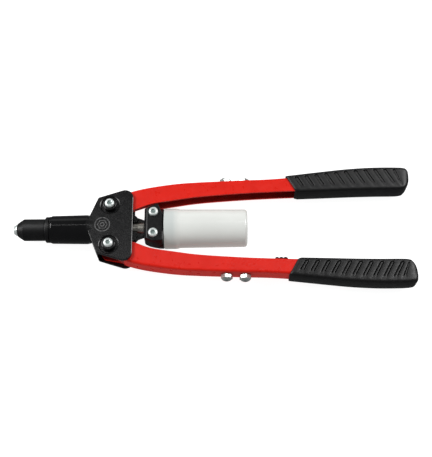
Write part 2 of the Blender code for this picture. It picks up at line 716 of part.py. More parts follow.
def make_holder():
    """A round cup with a flat pad on top, and a spigot for the bottle."""
    body = turned("bottle_holder", [
        (SPIGOT_REAR_X, 0.0), (SPIGOT_REAR_X, SPIGOT_RADIUS), (HOLDER_REAR_X, SPIGOT_RADIUS),
        (HOLDER_REAR_X, HOLDER_RADIUS), (-63.0 * MM, HOLDER_RADIUS - 0.8 * MM), (-69.5 * MM, 19.4 * MM),
        (-73.4 * MM, 17.2 * MM), (HOLDER_FRONT_X, 15.0 * MM), (HOLDER_FRONT_X, 0.0),
    ])
    front_half = 18.0 * MM
    wide_half = 23.0 * MM
    wide_x = -60.4 * MM
    pad_front = HOLDER_FRONT_X + 0.4 * MM
    pad_rear = HOLDER_REAR_X - 1.2 * MM
    slanted = [(pad_rear, 8.5 * MM), (wide_x, wide_half)]
    square = [(-66.0 * MM, -21.5 * MM), (pad_rear, -21.0 * MM)]
    pad_outline = [(pad_front, -front_half), *square, *slanted, (pad_front, front_half)]
    pad = plate("pad", pad_outline, -0.7 * MM, HOLDER_TOP_Z)
    top = AXIS_Z + HOLDER_TOP_Z
    pad = bevel_edges(pad, 2.4 * MM, lambda a, b: min(a.z, b.z) > top - GAP and max(a.x, b.x) < -74.0 * MM, 1)
    above = [(-80.0 * MM, -REACH), (pad_rear, -REACH), *slanted, (wide_x, REACH), (-80.0 * MM, REACH)]
    body = cut(body, plate("above", above, HOLDER_TOP_Z - 0.01 * MM, REACH))
    holder = union(body, pad)
    holder = cut(holder, holder_hollow())
    for side in (1.0, -1.0):
        place = (HOLDER_SCREW.x, side * HOLDER_SCREW.y)
        holder = cut(holder, cylinder("hole", SCREW_SHANK_RADIUS + GAP, 0.0, REACH, place, SMALL_STEPS))
    finish(holder, "bottle_holder", "gloss_black")
    screw = make_button_screw("screw", tuple(HOLDER_SCREW), HOLDER_TOP_Z + GAP, True, 13.0 * MM)
    both_sides("holder_screw", screw, "zinc")


def make_bottle():
    inner = BOTTLE_RADIUS - BOTTLE_WALL
    rear_inner = BOTTLE_REAR_RADIUS - BOTTLE_WALL
    rear = BOTTLE_REAR_X
    corner = 4.4 * MM
    bend = arc((rear - corner, BOTTLE_REAR_RADIUS - corner), corner, 0.0, 90.0, 4)
    profile = [
        (rear, 0.0), *bend, (BOTTLE_COLLAR_X + 1.0 * MM, BOTTLE_RADIUS), (BOTTLE_COLLAR_X, BOTTLE_COLLAR_RADIUS),
        (BOTTLE_FRONT_X, BOTTLE_COLLAR_RADIUS), (BOTTLE_FRONT_X, inner), (rear - corner, rear_inner),
        (rear - BOTTLE_WALL, rear_inner - 3.0 * MM), (rear - BOTTLE_WALL, 0.0),
    ]
    finish(turned("bottle", profile), "bottle", "milky_plastic")


# ---------------------------------------------------------------- arms

def arm_outline():
    outer, inner = side_profile(ARM_STATIONS)
    nose = arc(PIVOT, ARM_NOSE_RADIUS, -72.0, -245.0, 10)
    return nose + smooth_line(outer) + list(reversed(smooth_line(inner)))


def pocket_outline():
    """The hollow inside the channel: inside the web, and open on the inner side."""
    outer, inner = side_profile(ARM_STATIONS)
    wall = [(x, y - SHEET) for x, y in smooth_line([(-104.0 * MM, 37.0 * MM)] + outer)]
    past = [(x, y - 12.0 * MM) for x, y in smooth_line(inner, 1)]
    wall[-1] = (wall[-1][0] + 10.0 * MM, wall[-1][1])
    past[-1] = (past[-1][0] + 10.0 * MM, past[-1][1])
    front = [(-140.0 * MM, 0.0), (-140.0 * MM, 50.0 * MM), (-118.5 * MM, 50.0 * MM)]
    return front + wall + list(reversed(past))


def make_arm():
    half = ARM_HALF_THICKNESS
    arm = plate("arm", arm_outline(), -half, half)
    top = AXIS_Z + half
    bottom = AXIS_Z - half
    outer, _ = side_profile(ARM_STATIONS)
    line = smooth_line(outer)

    def on_web(point):
        return any(abs(point.x - x) < GAP and abs(point.y - y) < GAP for x, y in line)

    def outer_edge(a, b):
        level = abs(a.z - b.z) < GAP and (abs(a.z - top) < GAP or abs(a.z - bottom) < GAP)
        return level and on_web(a) and on_web(b)

    arm = bevel_edges(arm, ARM_BEND_RADIUS, outer_edge, 2)
    pocket = plate("pocket", pocket_outline(), -half + SHEET, half - SHEET)
    pivot_hole = cylinder("pivot_hole", PIVOT_PIN_RADIUS + RUNNING, -REACH, REACH, tuple(PIVOT))
    pin_place = link_pin_place()
    pin_hole = cylinder("pin_hole", ARM_PIN_RADIUS + RUNNING, -REACH, REACH, pin_place, SMALL_STEPS)
    notch_outline = [(x * MM, y * MM) for x, y in ARM_NOTCH]
    notch = plate("notch", notch_outline, -REACH, -half + SHEET + 0.5 * MM)
    arm = cut(arm, pocket, pivot_hole, pin_hole, notch)
    for x in SPARE_X:
        web = web_y(x)
        hole = side_cylinder("hole", SPARE_SHANK_RADIUS + GAP, x, web - 8.0 * MM, web + 8.0 * MM, SMALL_STEPS)
        arm = cut(arm, hole)
    both_sides("arm", arm, "red_paint")
    pin_half = half + 0.1 * MM
    pin = cylinder("pin", ARM_PIN_RADIUS, -pin_half, pin_half, pin_place, SMALL_STEPS)
    both_sides("link_pin", pin, "steel")


def web_y(x):
    """The web's outer face at x."""
    outer, _ = side_profile(ARM_STATIONS)
    line = smooth_line(outer, 8)
    for (x0, y0), (x1, y1) in zip(line, line[1:]):
        if x0 <= x <= x1:
            return y0 + (y1 - y0) * (x - x0) / (x1 - x0)
    raise ValueError("no web at this x")


def side_cylinder(name, radius, x, y_low, y_high, steps):
    """A cylinder along Y, on the tool's middle plane."""
    mesh = bpy.data.meshes.new(name)
    bm = bmesh.new()
    bmesh.ops.create_cone(bm, cap_ends=True, segments=steps, radius1=radius, radius2=radius, depth=y_high - y_low)
    centre = Vector((x, (y_low + y_high) / 2.0, AXIS_Z))
    turn = Matrix.Rotation(math.radians(90.0), 4, "X")
    bmesh.ops.transform(bm, matrix=Matrix.Translation(centre) @ turn, verts=bm.verts)
    bm.to_mesh(mesh)
    bm.free()
    return new_object(name, mesh)


def make_spares():
    """Two spare nosepieces screwed through each web, each into a nut welded inside."""
    for index, x in enumerate(SPARE_X):
        seat = web_y(x) + 0.5 * MM
        inside = web_y(x) - SHEET - 0.6 * MM
        number = str(index + 1)
        for side, sign in (("right_", 1.0), ("left_", -1.0)):
            hexagon_height, height = SPARE_HEIGHTS[sign][index]

            def turned_part(radius, low, high, steps):
                ends = sorted((sign * low, sign * high))
                return side_cylinder("turned", radius, x, ends[0], ends[1], steps)

            head = turned_part(SPARE_HEX_RADIUS, seat, seat + hexagon_height, 6)
            tip = turned_part(SPARE_TIP_RADIUS, seat + 1.0 * MM, seat + height, SMALL_STEPS)
            shank = turned_part(SPARE_SHANK_RADIUS, seat - 9.0 * MM, seat + 1.0 * MM, SMALL_STEPS)
            bore = turned_part((1.2 + 0.4 * index) * MM, seat - REACH, seat + REACH, 12)
            finish(cut(union(head, tip, shank), bore), side + "spare_nosepiece_" + number, "zinc")
        nut = side_cylinder("nut", WELD_NUT_RADIUS, x, inside - 4.0 * MM, inside, 6)
        hole = side_cylinder("hole", SPARE_SHANK_RADIUS + GAP, x, inside - REACH, inside + REACH, SMALL_STEPS)
        both_sides("weld_nut_" + number, cut(nut, hole), "dark_steel")


def make_grip():
    outer, inner = side_profile(GRIP_STATIONS)
    rear = GRIP_REAR_X
    outer_line = smooth_line([GRIP_FRONT_OUTER] + outer)
    inner_line = smooth_line(inner)
    end = [(rear - 5.0 * MM, 67.4 * MM), (rear - 1.2 * MM, 63.0 * MM), (rear, 56.0 * MM),
           (rear - 2.0 * MM, 48.0 * MM), (rear - 6.0 * MM, 43.0 * MM)]
    outline = outer_line + end + list(reversed(inner_line))
    half = GRIP_HALF_THICKNESS
    grip = plate("grip", outline, -half, half)
    top = AXIS_Z + half
    bottom = AXIS_Z - half

    def long_edge(a, b):
        level = abs(a.z - b.z) < GAP and (abs(a.z - top) < GAP or abs(a.z - bottom) < GAP)
        return level and max(a.x, b.x) > GRIP_STATIONS[0][0] * MM + GAP

    grip = bevel_edges(grip, GRIP_EDGE_RADIUS, long_edge, 2)
    arm_outer, arm_inner = side_profile(ARM_STATIONS)
    hollow_outline = [(x, y + GAP) for x, y in smooth_line(arm_outer)]
    hollow_outline[-1] = (ARM_REAR_X + GAP, hollow_outline[-1][1])
    low = [(x, y - GAP) for x, y in smooth_line(arm_inner)]
    low[-1] = (ARM_REAR_X + GAP, low[-1][1])
    hollow = plate("hollow", hollow_outline + list(reversed(low)), -ARM_HALF_THICKNESS - GAP,
                   ARM_HALF_THICKNESS + GAP)
    both_sides("grip", cut(grip, hollow), "grip_rubber")


def make_stop():
    """A small buffer on the left arm's inner edge, ahead of the grip."""
    low = (66.0 * MM, -39.4 * MM, -9.6 * MM)
    high = (80.0 * MM, -36.2 * MM, 9.6 * MM)
    finish(box("left_stop_buffer", low, high), "left_stop_buffer", "grip_rubber")


clear_scene()
parts = new_collection("hand_riveter")
materials = {name: make_material(name) for name in COLOURS}
make_nosepiece()
make_nose_housing()
make_lock_ring()
make_head()
make_pivot()
make_draw_bar()
make_links()
make_draw_collar()
make_jaws()
make_holder()
make_bottle()
make_arm()
make_spares()
make_grip()
make_stop()
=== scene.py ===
"""Looks of the long-arm hand riveter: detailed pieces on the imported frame, materials, studio and camera.

Everything is in metres in the frame's own axes: +X runs from the nose to the grips, +Y is the right
arm's side and +Z is up. Heights marked dz are measured from the tool's axis.
"""
import math

import bmesh
import bpy
from mathutils import Matrix, Vector


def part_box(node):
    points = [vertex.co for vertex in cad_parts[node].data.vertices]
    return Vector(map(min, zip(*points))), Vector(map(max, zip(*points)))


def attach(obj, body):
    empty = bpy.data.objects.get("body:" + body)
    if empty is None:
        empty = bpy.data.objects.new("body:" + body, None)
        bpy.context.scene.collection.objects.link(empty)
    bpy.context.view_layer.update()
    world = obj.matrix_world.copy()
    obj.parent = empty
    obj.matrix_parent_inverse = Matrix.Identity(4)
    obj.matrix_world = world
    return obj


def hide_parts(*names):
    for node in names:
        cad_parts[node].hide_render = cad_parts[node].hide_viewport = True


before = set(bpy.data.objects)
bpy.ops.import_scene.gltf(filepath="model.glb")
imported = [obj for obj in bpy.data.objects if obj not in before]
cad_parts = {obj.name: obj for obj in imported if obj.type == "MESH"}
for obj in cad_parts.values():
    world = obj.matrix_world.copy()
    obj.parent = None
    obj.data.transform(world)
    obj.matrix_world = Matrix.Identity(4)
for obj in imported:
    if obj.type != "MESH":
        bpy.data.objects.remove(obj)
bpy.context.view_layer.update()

# Unit, the axis's height, clearances and tolerances
MM = 0.001
AXIS_Z = (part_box("bottle")[0].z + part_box("bottle")[1].z) / 2.0
GAP = 0.3 * MM
CLEARANCE = 0.15 * MM
REACH = 30.0 * MM
TINY = 1e-7
WELD = 0.000002

# Camera and studio
CAMERA_ELEVATION = math.radians(67.0)
CAMERA_DISTANCE = 1.0
CAMERA_LENS = 71.6
CAMERA_ROLL = math.radians(-0.52)
CAMERA_TARGET = Vector((2.9 * MM, 0.0, AXIS_Z))

# Nose and head
TIP_X = -218.8 * MM
HOUSING_FRONT_X = -214.6 * MM
RING_FRONT_X = -183.8 * MM
BARREL_FRONT_X = -179.4 * MM
BARREL_RADIUS = 15.3 * MM
BARREL_ROOT_RADIUS = 16.0 * MM
BORE_RADIUS = 9.9 * MM
HEAD_APEX_X = -137.4 * MM
HEAD_SHOULDER = (-126.0 * MM, 32.3 * MM)
HEAD_CORNER = (-87.8 * MM, 44.6 * MM)
HEAD_HALF = 14.0 * MM
SLOT_HALF = 10.4 * MM
SLOT_FRONT_X = -125.6 * MM
POCKET_RADIUS = 10.2 * MM
POCKET_DEPTH = 1.8 * MM
EMBLEM_X = -120.6 * MM

# Pivots
PIVOT = Vector((-113.0 * MM, 23.2 * MM))
PIN_RADIUS = 4.5 * MM
BUSH_RADIUS = 7.6 * MM
BUSH_TOP = 17.8 * MM
SCREW_RADIUS = 5.15 * MM
SCREW_HEIGHT = 3.1 * MM
LINK_PIN = PIVOT + Vector((math.cos(math.radians(20.0)), math.sin(math.radians(20.0)))) * 10.0 * MM
LINK_PIN_RADIUS = 2.5 * MM
CROSSHEAD_PIN = Vector((-86.0 * MM, 9.0 * MM))
CROSSHEAD_PIN_RADIUS = 2.0 * MM

# Draw bar, holder and bottle
TUBE_RADIUS = 6.5 * MM
SHANK_RADIUS = 7.5 * MM
HOLDER_TOP = 18.6 * MM
HOLDER_SCREW = Vector((-65.0 * MM, 12.2 * MM))
BOTTLE_FRONT_X = -53.6 * MM
BOTTLE_COLLAR_X = -39.6 * MM
BOTTLE_REAR_X = 37.2 * MM
BOTTLE_COLLAR_RADIUS = 22.2 * MM
BOTTLE_RADIUS = 21.2 * MM
BOTTLE_REAR_RADIUS = 20.6 * MM

# Arms: stations as (x, outer y, inner y) in mm, spares' heights as (hexagon's top, end) in mm
ARM_HALF = 10.0 * MM
SHEET = 2.2 * MM
ARM_STATIONS = (
    (-97.0, 39.4, 15.9), (-85.0, 43.4, 19.7), (-67.5, 47.2, 26.2), (-41.0, 51.0, 30.8),
    (-15.0, 52.8, 34.5), (28.0, 54.6, 37.8), (68.0, 56.1, 39.8), (120.0, 60.6, 41.4),
    (160.0, 64.4, 42.8), (200.0, 65.6, 43.6),
)
ARM_NOTCH = ((-95.5, 5.0), (-95.5, 15.0), (-91.0, 24.6), (-66.0, 33.3), (-60.0, 27.0), (-60.0, 5.0))
SPARE_X = (14.0 * MM, 34.0 * MM)
SPARE_HEIGHTS = {"right": ((4.6, 6.0), (3.4, 4.6)), "left": ((4.6, 6.4), (4.6, 6.4))}

# Grips: outer and inner lines as (x, y) in mm
GRIP_HALF = 11.8 * MM
GRIP_CORNER = 3.6 * MM
GRIP_LAP = 0.25 * MM
GRIP_OUTER = (
    (80.5, 59.0), (92.0, 60.3), (120.0, 63.6), (150.0, 66.8), (178.0, 68.4), (205.0, 68.4),
    (213.0, 67.9),
)
GRIP_INNER = ((92.0, 38.4), (120.0, 39.2), (150.0, 40.2), (178.0, 40.8), (205.0, 41.0), (212.0, 42.2))
GRIP_SLANT = 0.555
GRIP_SQUARE_X = 205.0 * MM
GRIP_SQUARE_ROOM = 7.5 * MM
GRIP_ROWS = 46
GRIP_CORNER_STEPS = 6
SLOT_COUNT = 11
SLOT_FIRST_X = 89.0 * MM
SLOT_PITCH = 11.0 * MM
SLOT_WIDTH = 3.2 * MM
SLOT_ENDS = 10.4 * MM
SLOT_OUTER_END = 4.0 * MM
SLOT_INNER_END = 4.4 * MM
SLOT_FADE = 0.22
SLOT_FLOOR = 0.2 * MM
SLOT_LINE = 1.15 * MM
SLOT_LINE_HALF = 0.9 * MM
SLOT_SHADE_DEPTH = 0.4 * MM
RIB_RISE = 0.2 * MM
RIB_RAMP = 3.0 * MM


# ---------------------------------------------------------------- node materials

def linear(value):
    """One channel of an sRGB colour from 0 to 255 as linear light."""
    value = value / 255.0
    return value / 12.92 if value <= 0.04045 else ((value + 0.055) / 1.055) ** 2.4


def rgb(red, green, blue):
    return (linear(red), linear(green), linear(blue), 1.0)


class Surface:
    """A Principled material whose colour, roughness and bump come from noise in the piece's own space.

    colour, roughness and bump each add one layer of noise, and return the surface for the next call.
    """

    def __init__(self, name, **values):
        self.material = bpy.data.materials.new(name)
        self.material.use_nodes = True
        self.tree = self.material.node_tree
        self.shader = self.tree.nodes["Principled BSDF"]
        for socket, value in values.items():
            self.shader.inputs[socket.replace("_", " ")].default_value = value
        self.coordinates = self.add("ShaderNodeTexCoord").outputs["Object"]
        self.normal = None

    def add(self, kind, **values):
        node = self.tree.nodes.new(kind)
        for name, value in values.items():
            if hasattr(node, name):
                setattr(node, name, value)
            else:
                node.inputs[name.replace("_", " ")].default_value = value
        return node

    def link(self, output, target):
        self.tree.links.new(output, target)

    def stretched(self, stretch):
        if stretch is None:
            return self.coordinates
        mapping = self.add("ShaderNodeMapping")
        mapping.inputs["Scale"].default_value = stretch
        self.link(self.coordinates, mapping.inputs["Vector"])
        return mapping.outputs["Vector"]

    def noise(self, scale, detail, stretch=None):
        node = self.add("ShaderNodeTexNoise", Scale=scale, Detail=detail)
        self.link(self.stretched(stretch), node.inputs["Vector"])
        return node.outputs["Fac"]

    def ramp(self, factor, low, high):
        node = self.add("ShaderNodeValToRGB")
        for element, position, colour in zip(node.color_ramp.elements, (0.35, 0.65), (low, high)):
            element.position = position
            element.color = colour
        self.link(factor, node.inputs["Fac"])
        return node.outputs["Color"]

    def colour(self, low, high, scale, detail):
        mottle = self.ramp(self.noise(scale, detail), low, high)
        self.link(mottle, self.shader.inputs["Base Color"])
        return self

    def roughness(self, low, high, scale, detail, stretch=None):
        node = self.add("ShaderNodeMapRange", From_Min=0.3, From_Max=0.7, To_Min=low, To_Max=high)
        self.link(self.noise(scale, detail, stretch), node.inputs["Value"])
        self.link(node.outputs["Result"], self.shader.inputs["Roughness"])
        return self

    def bump(self, scale, detail, distance, strength, stretch=None):
        height = self.noise(scale, detail, stretch)
        node = self.add("ShaderNodeBump", Strength=strength, Distance=distance)
        self.link(height, node.inputs["Height"])
        if self.normal is not None:
            self.link(self.normal, node.inputs["Normal"])
        self.normal = node.outputs["Normal"]
        self.link(self.normal, self.shader.inputs["Normal"])
        return self


def make_milky_plastic():
    """Milky moulded plastic with a painted glow that stands in for light passing through it, and painted
    shade where its collar covers the black spigot.
    """
    # The emission is a painted glow, not a lamp.
    s = Surface("milky_plastic", IOR=1.49, Emission_Color=(0.96, 1.0, 0.94, 1.0), Emission_Strength=0.19)
    body = s.ramp(s.noise(30.0, 2.0), rgb(192, 193, 190), rgb(197, 198, 195))
    # The collar's darker colour is painted shade from the black spigot inside the plastic.
    collar = s.ramp(s.noise(30.0, 2.0), rgb(164, 169, 168), rgb(171, 176, 175))
    place = s.add("ShaderNodeSeparateXYZ")
    s.link(s.coordinates, place.inputs["Vector"])
    along = s.add("ShaderNodeMapRange", interpolation_type="SMOOTHSTEP",
                  From_Min=BOTTLE_COLLAR_X - 6.0 * MM, From_Max=BOTTLE_COLLAR_X + 3.0 * MM)
    s.link(place.outputs["X"], along.inputs["Value"])
    mix = s.add("ShaderNodeMix", data_type="RGBA")
    factor, first, second, result = mix.inputs[0], mix.inputs[6], mix.inputs[7], mix.outputs[2]
    s.link(along.outputs["Result"], factor)
    s.link(collar, first)
    s.link(body, second)
    s.link(result, s.shader.inputs["Base Color"])
    return s.roughness(0.11, 0.16, 60.0, 2.0).bump(60.0, 1.0, 0.00003, 0.2).material


# Semi-gloss black enamel over a cast surface
enamel = (Surface("black_enamel", IOR=1.5)
          .colour(rgb(7, 7, 8), rgb(12, 12, 13), 160.0, 5.0)
          .roughness(0.20, 0.30, 260.0, 4.0)
          .bump(260.0, 2.0, 0.00003, 0.2).material)

# The same enamel painted lighter on the raised cast marks: a painted highlight where they catch the light
emblem_painted_highlight = (Surface("emblem_painted_highlight", IOR=1.5)
               .colour(rgb(52, 52, 54), rgb(104, 104, 104), 700.0, 4.0)
               .roughness(0.26, 0.38, 500.0, 3.0)
               .bump(600.0, 4.0, 0.00008, 0.5).material)

# The enamel on the turned barrel, smooth enough to show a crisp line of light
gloss_enamel = (Surface("gloss_enamel", IOR=1.5)
                .colour(rgb(7, 7, 8), rgb(10, 10, 11), 160.0, 3.0)
                .roughness(0.10, 0.16, 120.0, 3.0)
                .bump(200.0, 1.0, 0.00001, 0.2).material)

# A flatter black than the head's, with weaker reflections
satin_enamel = (Surface("satin_black_paint", IOR=1.36)
                .colour(rgb(7, 7, 9), rgb(14, 14, 16), 300.0, 4.0)
                .roughness(0.30, 0.40, 400.0, 3.0)
                .bump(400.0, 3.0, 0.00003, 0.3).material)

# Satin black oxide on turned steel, with faint turning marks round the axis
black_oxide = (Surface("black_oxide_steel", Metallic=0.2)
               .colour(rgb(11, 11, 12), rgb(18, 18, 19), 220.0, 4.0)
               .roughness(0.34, 0.46, 500.0, 3.0, (6.0, 1.0, 1.0))
               .bump(900.0, 2.0, 0.00002, 0.4, (3.0, 0.15, 0.15)).material)

# Gloss red powder coat with a slight orange peel
red_paint = (Surface("red_powder_coat", IOR=1.46)
             .colour(rgb(206, 24, 8), rgb(214, 28, 12), 60.0, 3.0)
             .roughness(0.26, 0.34, 120.0, 3.0)
             .bump(130.0, 2.0, 0.00004, 0.25).material)

# The same paint inside the channels, painted darker and browner: painted shade where little light reaches
# in
channel_painted_shade = (Surface("red_channel_painted_shade", IOR=1.46)
            .colour(rgb(152, 27, 22), rgb(162, 31, 26), 60.0, 3.0)
            .roughness(0.34, 0.42, 120.0, 3.0).material)

# Moulded black rubber with a fine eroded texture
rubber = (Surface("moulded_rubber", IOR=1.45)
          .colour(rgb(8, 8, 9), rgb(15, 15, 15), 180.0, 5.0)
          .roughness(0.40, 0.50, 300.0, 4.0)
          .bump(1100.0, 4.0, 0.00008, 0.6)
          .bump(240.0, 3.0, 0.00008, 0.3).material)

# Near-black rubber at the bottom of the grips' moulded lines: painted shade where little light gets in
groove_painted_shade = (Surface("grip_groove_painted_shade", IOR=1.2)
                 .colour(rgb(3, 3, 3), rgb(6, 6, 6), 500.0, 3.0)
                 .roughness(0.65, 0.75, 500.0, 3.0).material)

# Bright zinc plating, slightly cloudy
zinc = (Surface("bright_zinc", Metallic=0.5)
        .colour(rgb(206, 214, 212), rgb(230, 236, 234), 500.0, 4.0)
        .roughness(0.28, 0.38, 700.0, 3.0)
        .bump(1500.0, 3.0, 0.00003, 0.4).material)

# Machined steel with fine turning lines round the axis
steel = (Surface("machined_steel", Metallic=1.0)
         .colour(rgb(150, 146, 140), rgb(196, 192, 186), 300.0, 4.0)
         .roughness(0.22, 0.38, 900.0, 2.0, (8.0, 0.5, 0.5))
         .bump(1400.0, 2.0, 0.00003, 0.5, (5.0, 0.2, 0.2)).material)

# Oiled, slightly brown steel with the same turning lines
dull_steel = (Surface("dull_steel", Metallic=0.9)
              .colour(rgb(172, 169, 160), rgb(200, 197, 188), 300.0, 4.0)
              .roughness(0.22, 0.34, 900.0, 2.0, (8.0, 0.5, 0.5))
              .bump(1400.0, 2.0, 0.00003, 0.5, (5.0, 0.2, 0.2)).material)

# Dark grey phosphated steel
dark_steel = (Surface("phosphated_steel", Metallic=0.6)
              .colour(rgb(52, 52, 54), rgb(76, 76, 78), 300.0, 4.0)
              .roughness(0.40, 0.55, 600.0, 3.0)
              .bump(1200.0, 3.0, 0.00003, 0.4).material)

milky = make_milky_plastic()

# The spare nosepieces' thin plating, more mirror-like than the screws'
plated_steel = (Surface("plated_steel", Metallic=0.72)
                .colour(rgb(178, 184, 181), rgb(202, 207, 204), 500.0, 4.0)
                .roughness(0.26, 0.36, 700.0, 3.0).material)

# A darker steel colour for the inside of a screw's socket: painted shade in the recess
socket_shadow = (Surface("socket_shadow", Metallic=0.3)
                 .colour(rgb(84, 100, 98), rgb(140, 154, 150), 900.0, 3.0)
                 .roughness(0.35, 0.50, 900.0, 3.0).material)

# A floor that glows almost white and takes soft shadows
floor_white = (Surface("floor_white", Roughness=0.9, IOR=1.2, Emission_Color=(1.0, 1.0, 1.0, 1.0),
                       Emission_Strength=0.95)
               .colour((0.30, 0.30, 0.30, 1.0), (0.32, 0.32, 0.32, 1.0), 3.0, 2.0).material)


# ---------------------------------------------------------------- mesh helpers

def linked(name, bm):
    """A mesh object in the scene from a bmesh, which is used up."""
    mesh = bpy.data.meshes.new(name)
    bm.to_mesh(mesh)
    bm.free()
    obj = bpy.data.objects.new(name, mesh)
    bpy.context.scene.collection.objects.link(obj)
    return obj


def new_piece(name, bm):
    """The same, with every face turned outwards first."""
    bmesh.ops.recalc_face_normals(bm, faces=bm.faces)
    return linked(name, bm)


def bridge(bm, first, second):
    """Faces between two rings of vertices, either of which may be a single point."""
    steps = max(len(first), len(second))
    faces = []
    for i in range(steps):
        j = (i + 1) % steps
        corners = (first[i % len(first)], first[j % len(first)],
                   second[j % len(second)], second[i % len(second)])
        unique = list(dict.fromkeys(corners))
        if len(unique) > 2:
            faces.append(bm.faces.new(unique))
    return faces


def evaluated(obj):
    """The same object with its modifiers applied."""
    bpy.context.view_layer.update()
    depsgraph = bpy.context.evaluated_depsgraph_get()
    mesh = bpy.data.meshes.new_from_object(obj.evaluated_get(depsgraph))
    obj.modifiers.clear()
    obj.data = mesh
    return obj


def boolean(obj, other, operation):
    """Applies a Boolean with another object, which is used up, and drops the slivers it leaves."""
    modifier = obj.modifiers.new(operation, "BOOLEAN")
    modifier.operation = operation
    modifier.solver = "EXACT"
    modifier.object = other
    evaluated(obj)
    bpy.data.objects.remove(other, do_unlink=True)
    bm = bmesh.new()
    bm.from_mesh(obj.data)
    bmesh.ops.remove_doubles(bm, verts=bm.verts, dist=WELD)
    bmesh.ops.dissolve_degenerate(bm, edges=bm.edges, dist=WELD)
    bm.to_mesh(obj.data)
    bm.free()
    return obj


def cut(obj, *cutters):
    for cutter in cutters:
        boolean(obj, cutter, "DIFFERENCE")
    return obj


def union(obj, *others):
    for other in others:
        boolean(obj, other, "UNION")
    return obj


def joined(name, *objects):
    """Several objects' meshes in one object, with no Boolean."""
    bm = bmesh.new()
    for obj in objects:
        bm.from_mesh(obj.data)
        bpy.data.objects.remove(obj, do_unlink=True)
    return linked(name, bm)


def lathe(name, profile, steps, closed=False):
    """A solid turned about the tool's axis from points (x, radius)."""
    return lathe_about(name, profile, Vector((0.0, 0.0, AXIS_Z)), "X", steps, closed)


def lathe_about(name, profile, origin, axis, steps, closed=False):
    """A solid turned about an axis through origin from points (distance along the axis, radius)."""
    turn = {"X": Matrix.Rotation(math.radians(90.0), 3, "Y"), "Z": Matrix.Identity(3),
            "Y": Matrix.Rotation(math.radians(-90.0), 3, "X")}[axis]
    bm = bmesh.new()
    rings = []
    for along, radius in profile:
        count = 1 if radius < TINY else steps
        ring = []
        for i in range(count):
            angle = 2.0 * math.pi * i / steps
            point = Vector((radius * math.cos(angle), radius * math.sin(angle), along))
            ring.append(bm.verts.new(origin + turn @ point))
        rings.append(ring)
    pairs = list(zip(rings, rings[1:]))
    if closed:
        pairs.append((rings[-1], rings[0]))
    for first, second in pairs:
        bridge(bm, first, second)
    return new_piece(name, bm)


def drill(x, y, radius, steps, low=-REACH, high=REACH, axis="Z"):
    """A cylinder to cut a hole with, through a place in plan."""
    profile = [(low, 0.0), (low, radius), (high, radius), (high, 0.0)]
    return lathe_about("hole", profile, Vector((x, y, AXIS_Z)), axis, steps)


def hexagon_share(angle):
    """How far a hexagon reaches at an angle, as a share of its corners' radius."""
    wedge = (angle % (math.pi / 3.0)) - math.pi / 6.0
    return math.cos(math.pi / 6.0) / math.cos(wedge)


def fillet(points, radii, count, cyclic=True):
    """A line with its corners rounded by arcs of count points. radii is one radius or one a point."""
    if not hasattr(radii, "__len__"):
        radii = [radii] * len(points)
    made = []
    total = len(points)
    for i, (corner, radius) in enumerate(zip(points, radii)):
        here = Vector(corner)
        end = not cyclic and i in (0, total - 1)
        if radius < TINY or end:
            made.append(tuple(here))
            continue
        before = Vector(points[i - 1]) - here
        after = Vector(points[(i + 1) % total]) - here
        half = before.angle(after) / 2.0
        reach = min(radius / math.tan(half), before.length * 0.49, after.length * 0.49)
        size = reach * math.tan(half)
        bisector = (before.normalized() + after.normalized()).normalized()
        centre = here + bisector * (size / math.sin(half))
        start = here + before.normalized() * reach - centre
        finish = here + after.normalized() * reach - centre
        sweep = start.angle_signed(finish)
        for k in range(count):
            made.append(tuple(centre + Matrix.Rotation(-sweep * k / (count - 1), 2) @ start))
    return made


def shrunk(corners, inset):
    """A closed plan polygon, listed anticlockwise, with every edge moved inwards."""
    moved = []
    for i, corner in enumerate(corners):
        here = Vector(corner)
        before = (here - Vector(corners[i - 1])).normalized()
        after = (Vector(corners[(i + 1) % len(corners)]) - here).normalized()
        reach = inset / (before.x * after.y - before.y * after.x)
        moved.append(tuple(here + (after - before) * reach))
    return moved


def loft(name, levels):
    """A solid through plan outlines of the same number of points, each at a height dz."""
    bm = bmesh.new()
    rings = [[bm.verts.new((x, y, AXIS_Z + dz)) for x, y in outline] for outline, dz in levels]
    bm.faces.new(rings[0])
    bm.faces.new(rings[-1])
    for low, high in zip(rings, rings[1:]):
        bridge(bm, low, high)
    return new_piece(name, bm)


def prism(name, outline, low, high):
    """A flat plate from a plan outline between two heights dz."""
    return loft(name, [(outline, low), (outline, high)])


def bevel(obj, radius, segments, wanted):
    """Rounds the edges for which wanted(edge) is true."""
    bm = bmesh.new()
    bm.from_mesh(obj.data)
    edges = [edge for edge in bm.edges if wanted(edge)]
    bmesh.ops.bevel(bm, geom=edges, offset=radius, segments=segments, profile=0.5, affect="EDGES",
                    clamp_overlap=False)
    bm.to_mesh(obj.data)
    bm.free()
    return obj


def soften(obj, radius, segments, angle):
    """Merges flat faces and rounds every edge sharper than the angle in degrees."""
    bm = bmesh.new()
    bm.from_mesh(obj.data)
    flat = math.radians(0.4)
    bmesh.ops.dissolve_limit(bm, angle_limit=flat, verts=bm.verts, edges=bm.edges)
    bm.to_mesh(obj.data)
    bm.free()
    modifier = obj.modifiers.new("Soft edges", "BEVEL")
    modifier.width = radius
    modifier.segments = segments
    modifier.limit_method = "ANGLE"
    modifier.angle_limit = math.radians(angle)
    return evaluated(obj)


def mirrored(obj, name):
    """A copy on the other side of the tool, with the same materials."""
    bm = bmesh.new()
    bm.from_mesh(obj.data)
    bmesh.ops.scale(bm, vec=(1.0, -1.0, 1.0), verts=bm.verts)
    bmesh.ops.reverse_faces(bm, faces=bm.faces)
    copy = linked(name, bm)
    for material in obj.data.materials:
        copy.data.materials.append(material)
    return copy


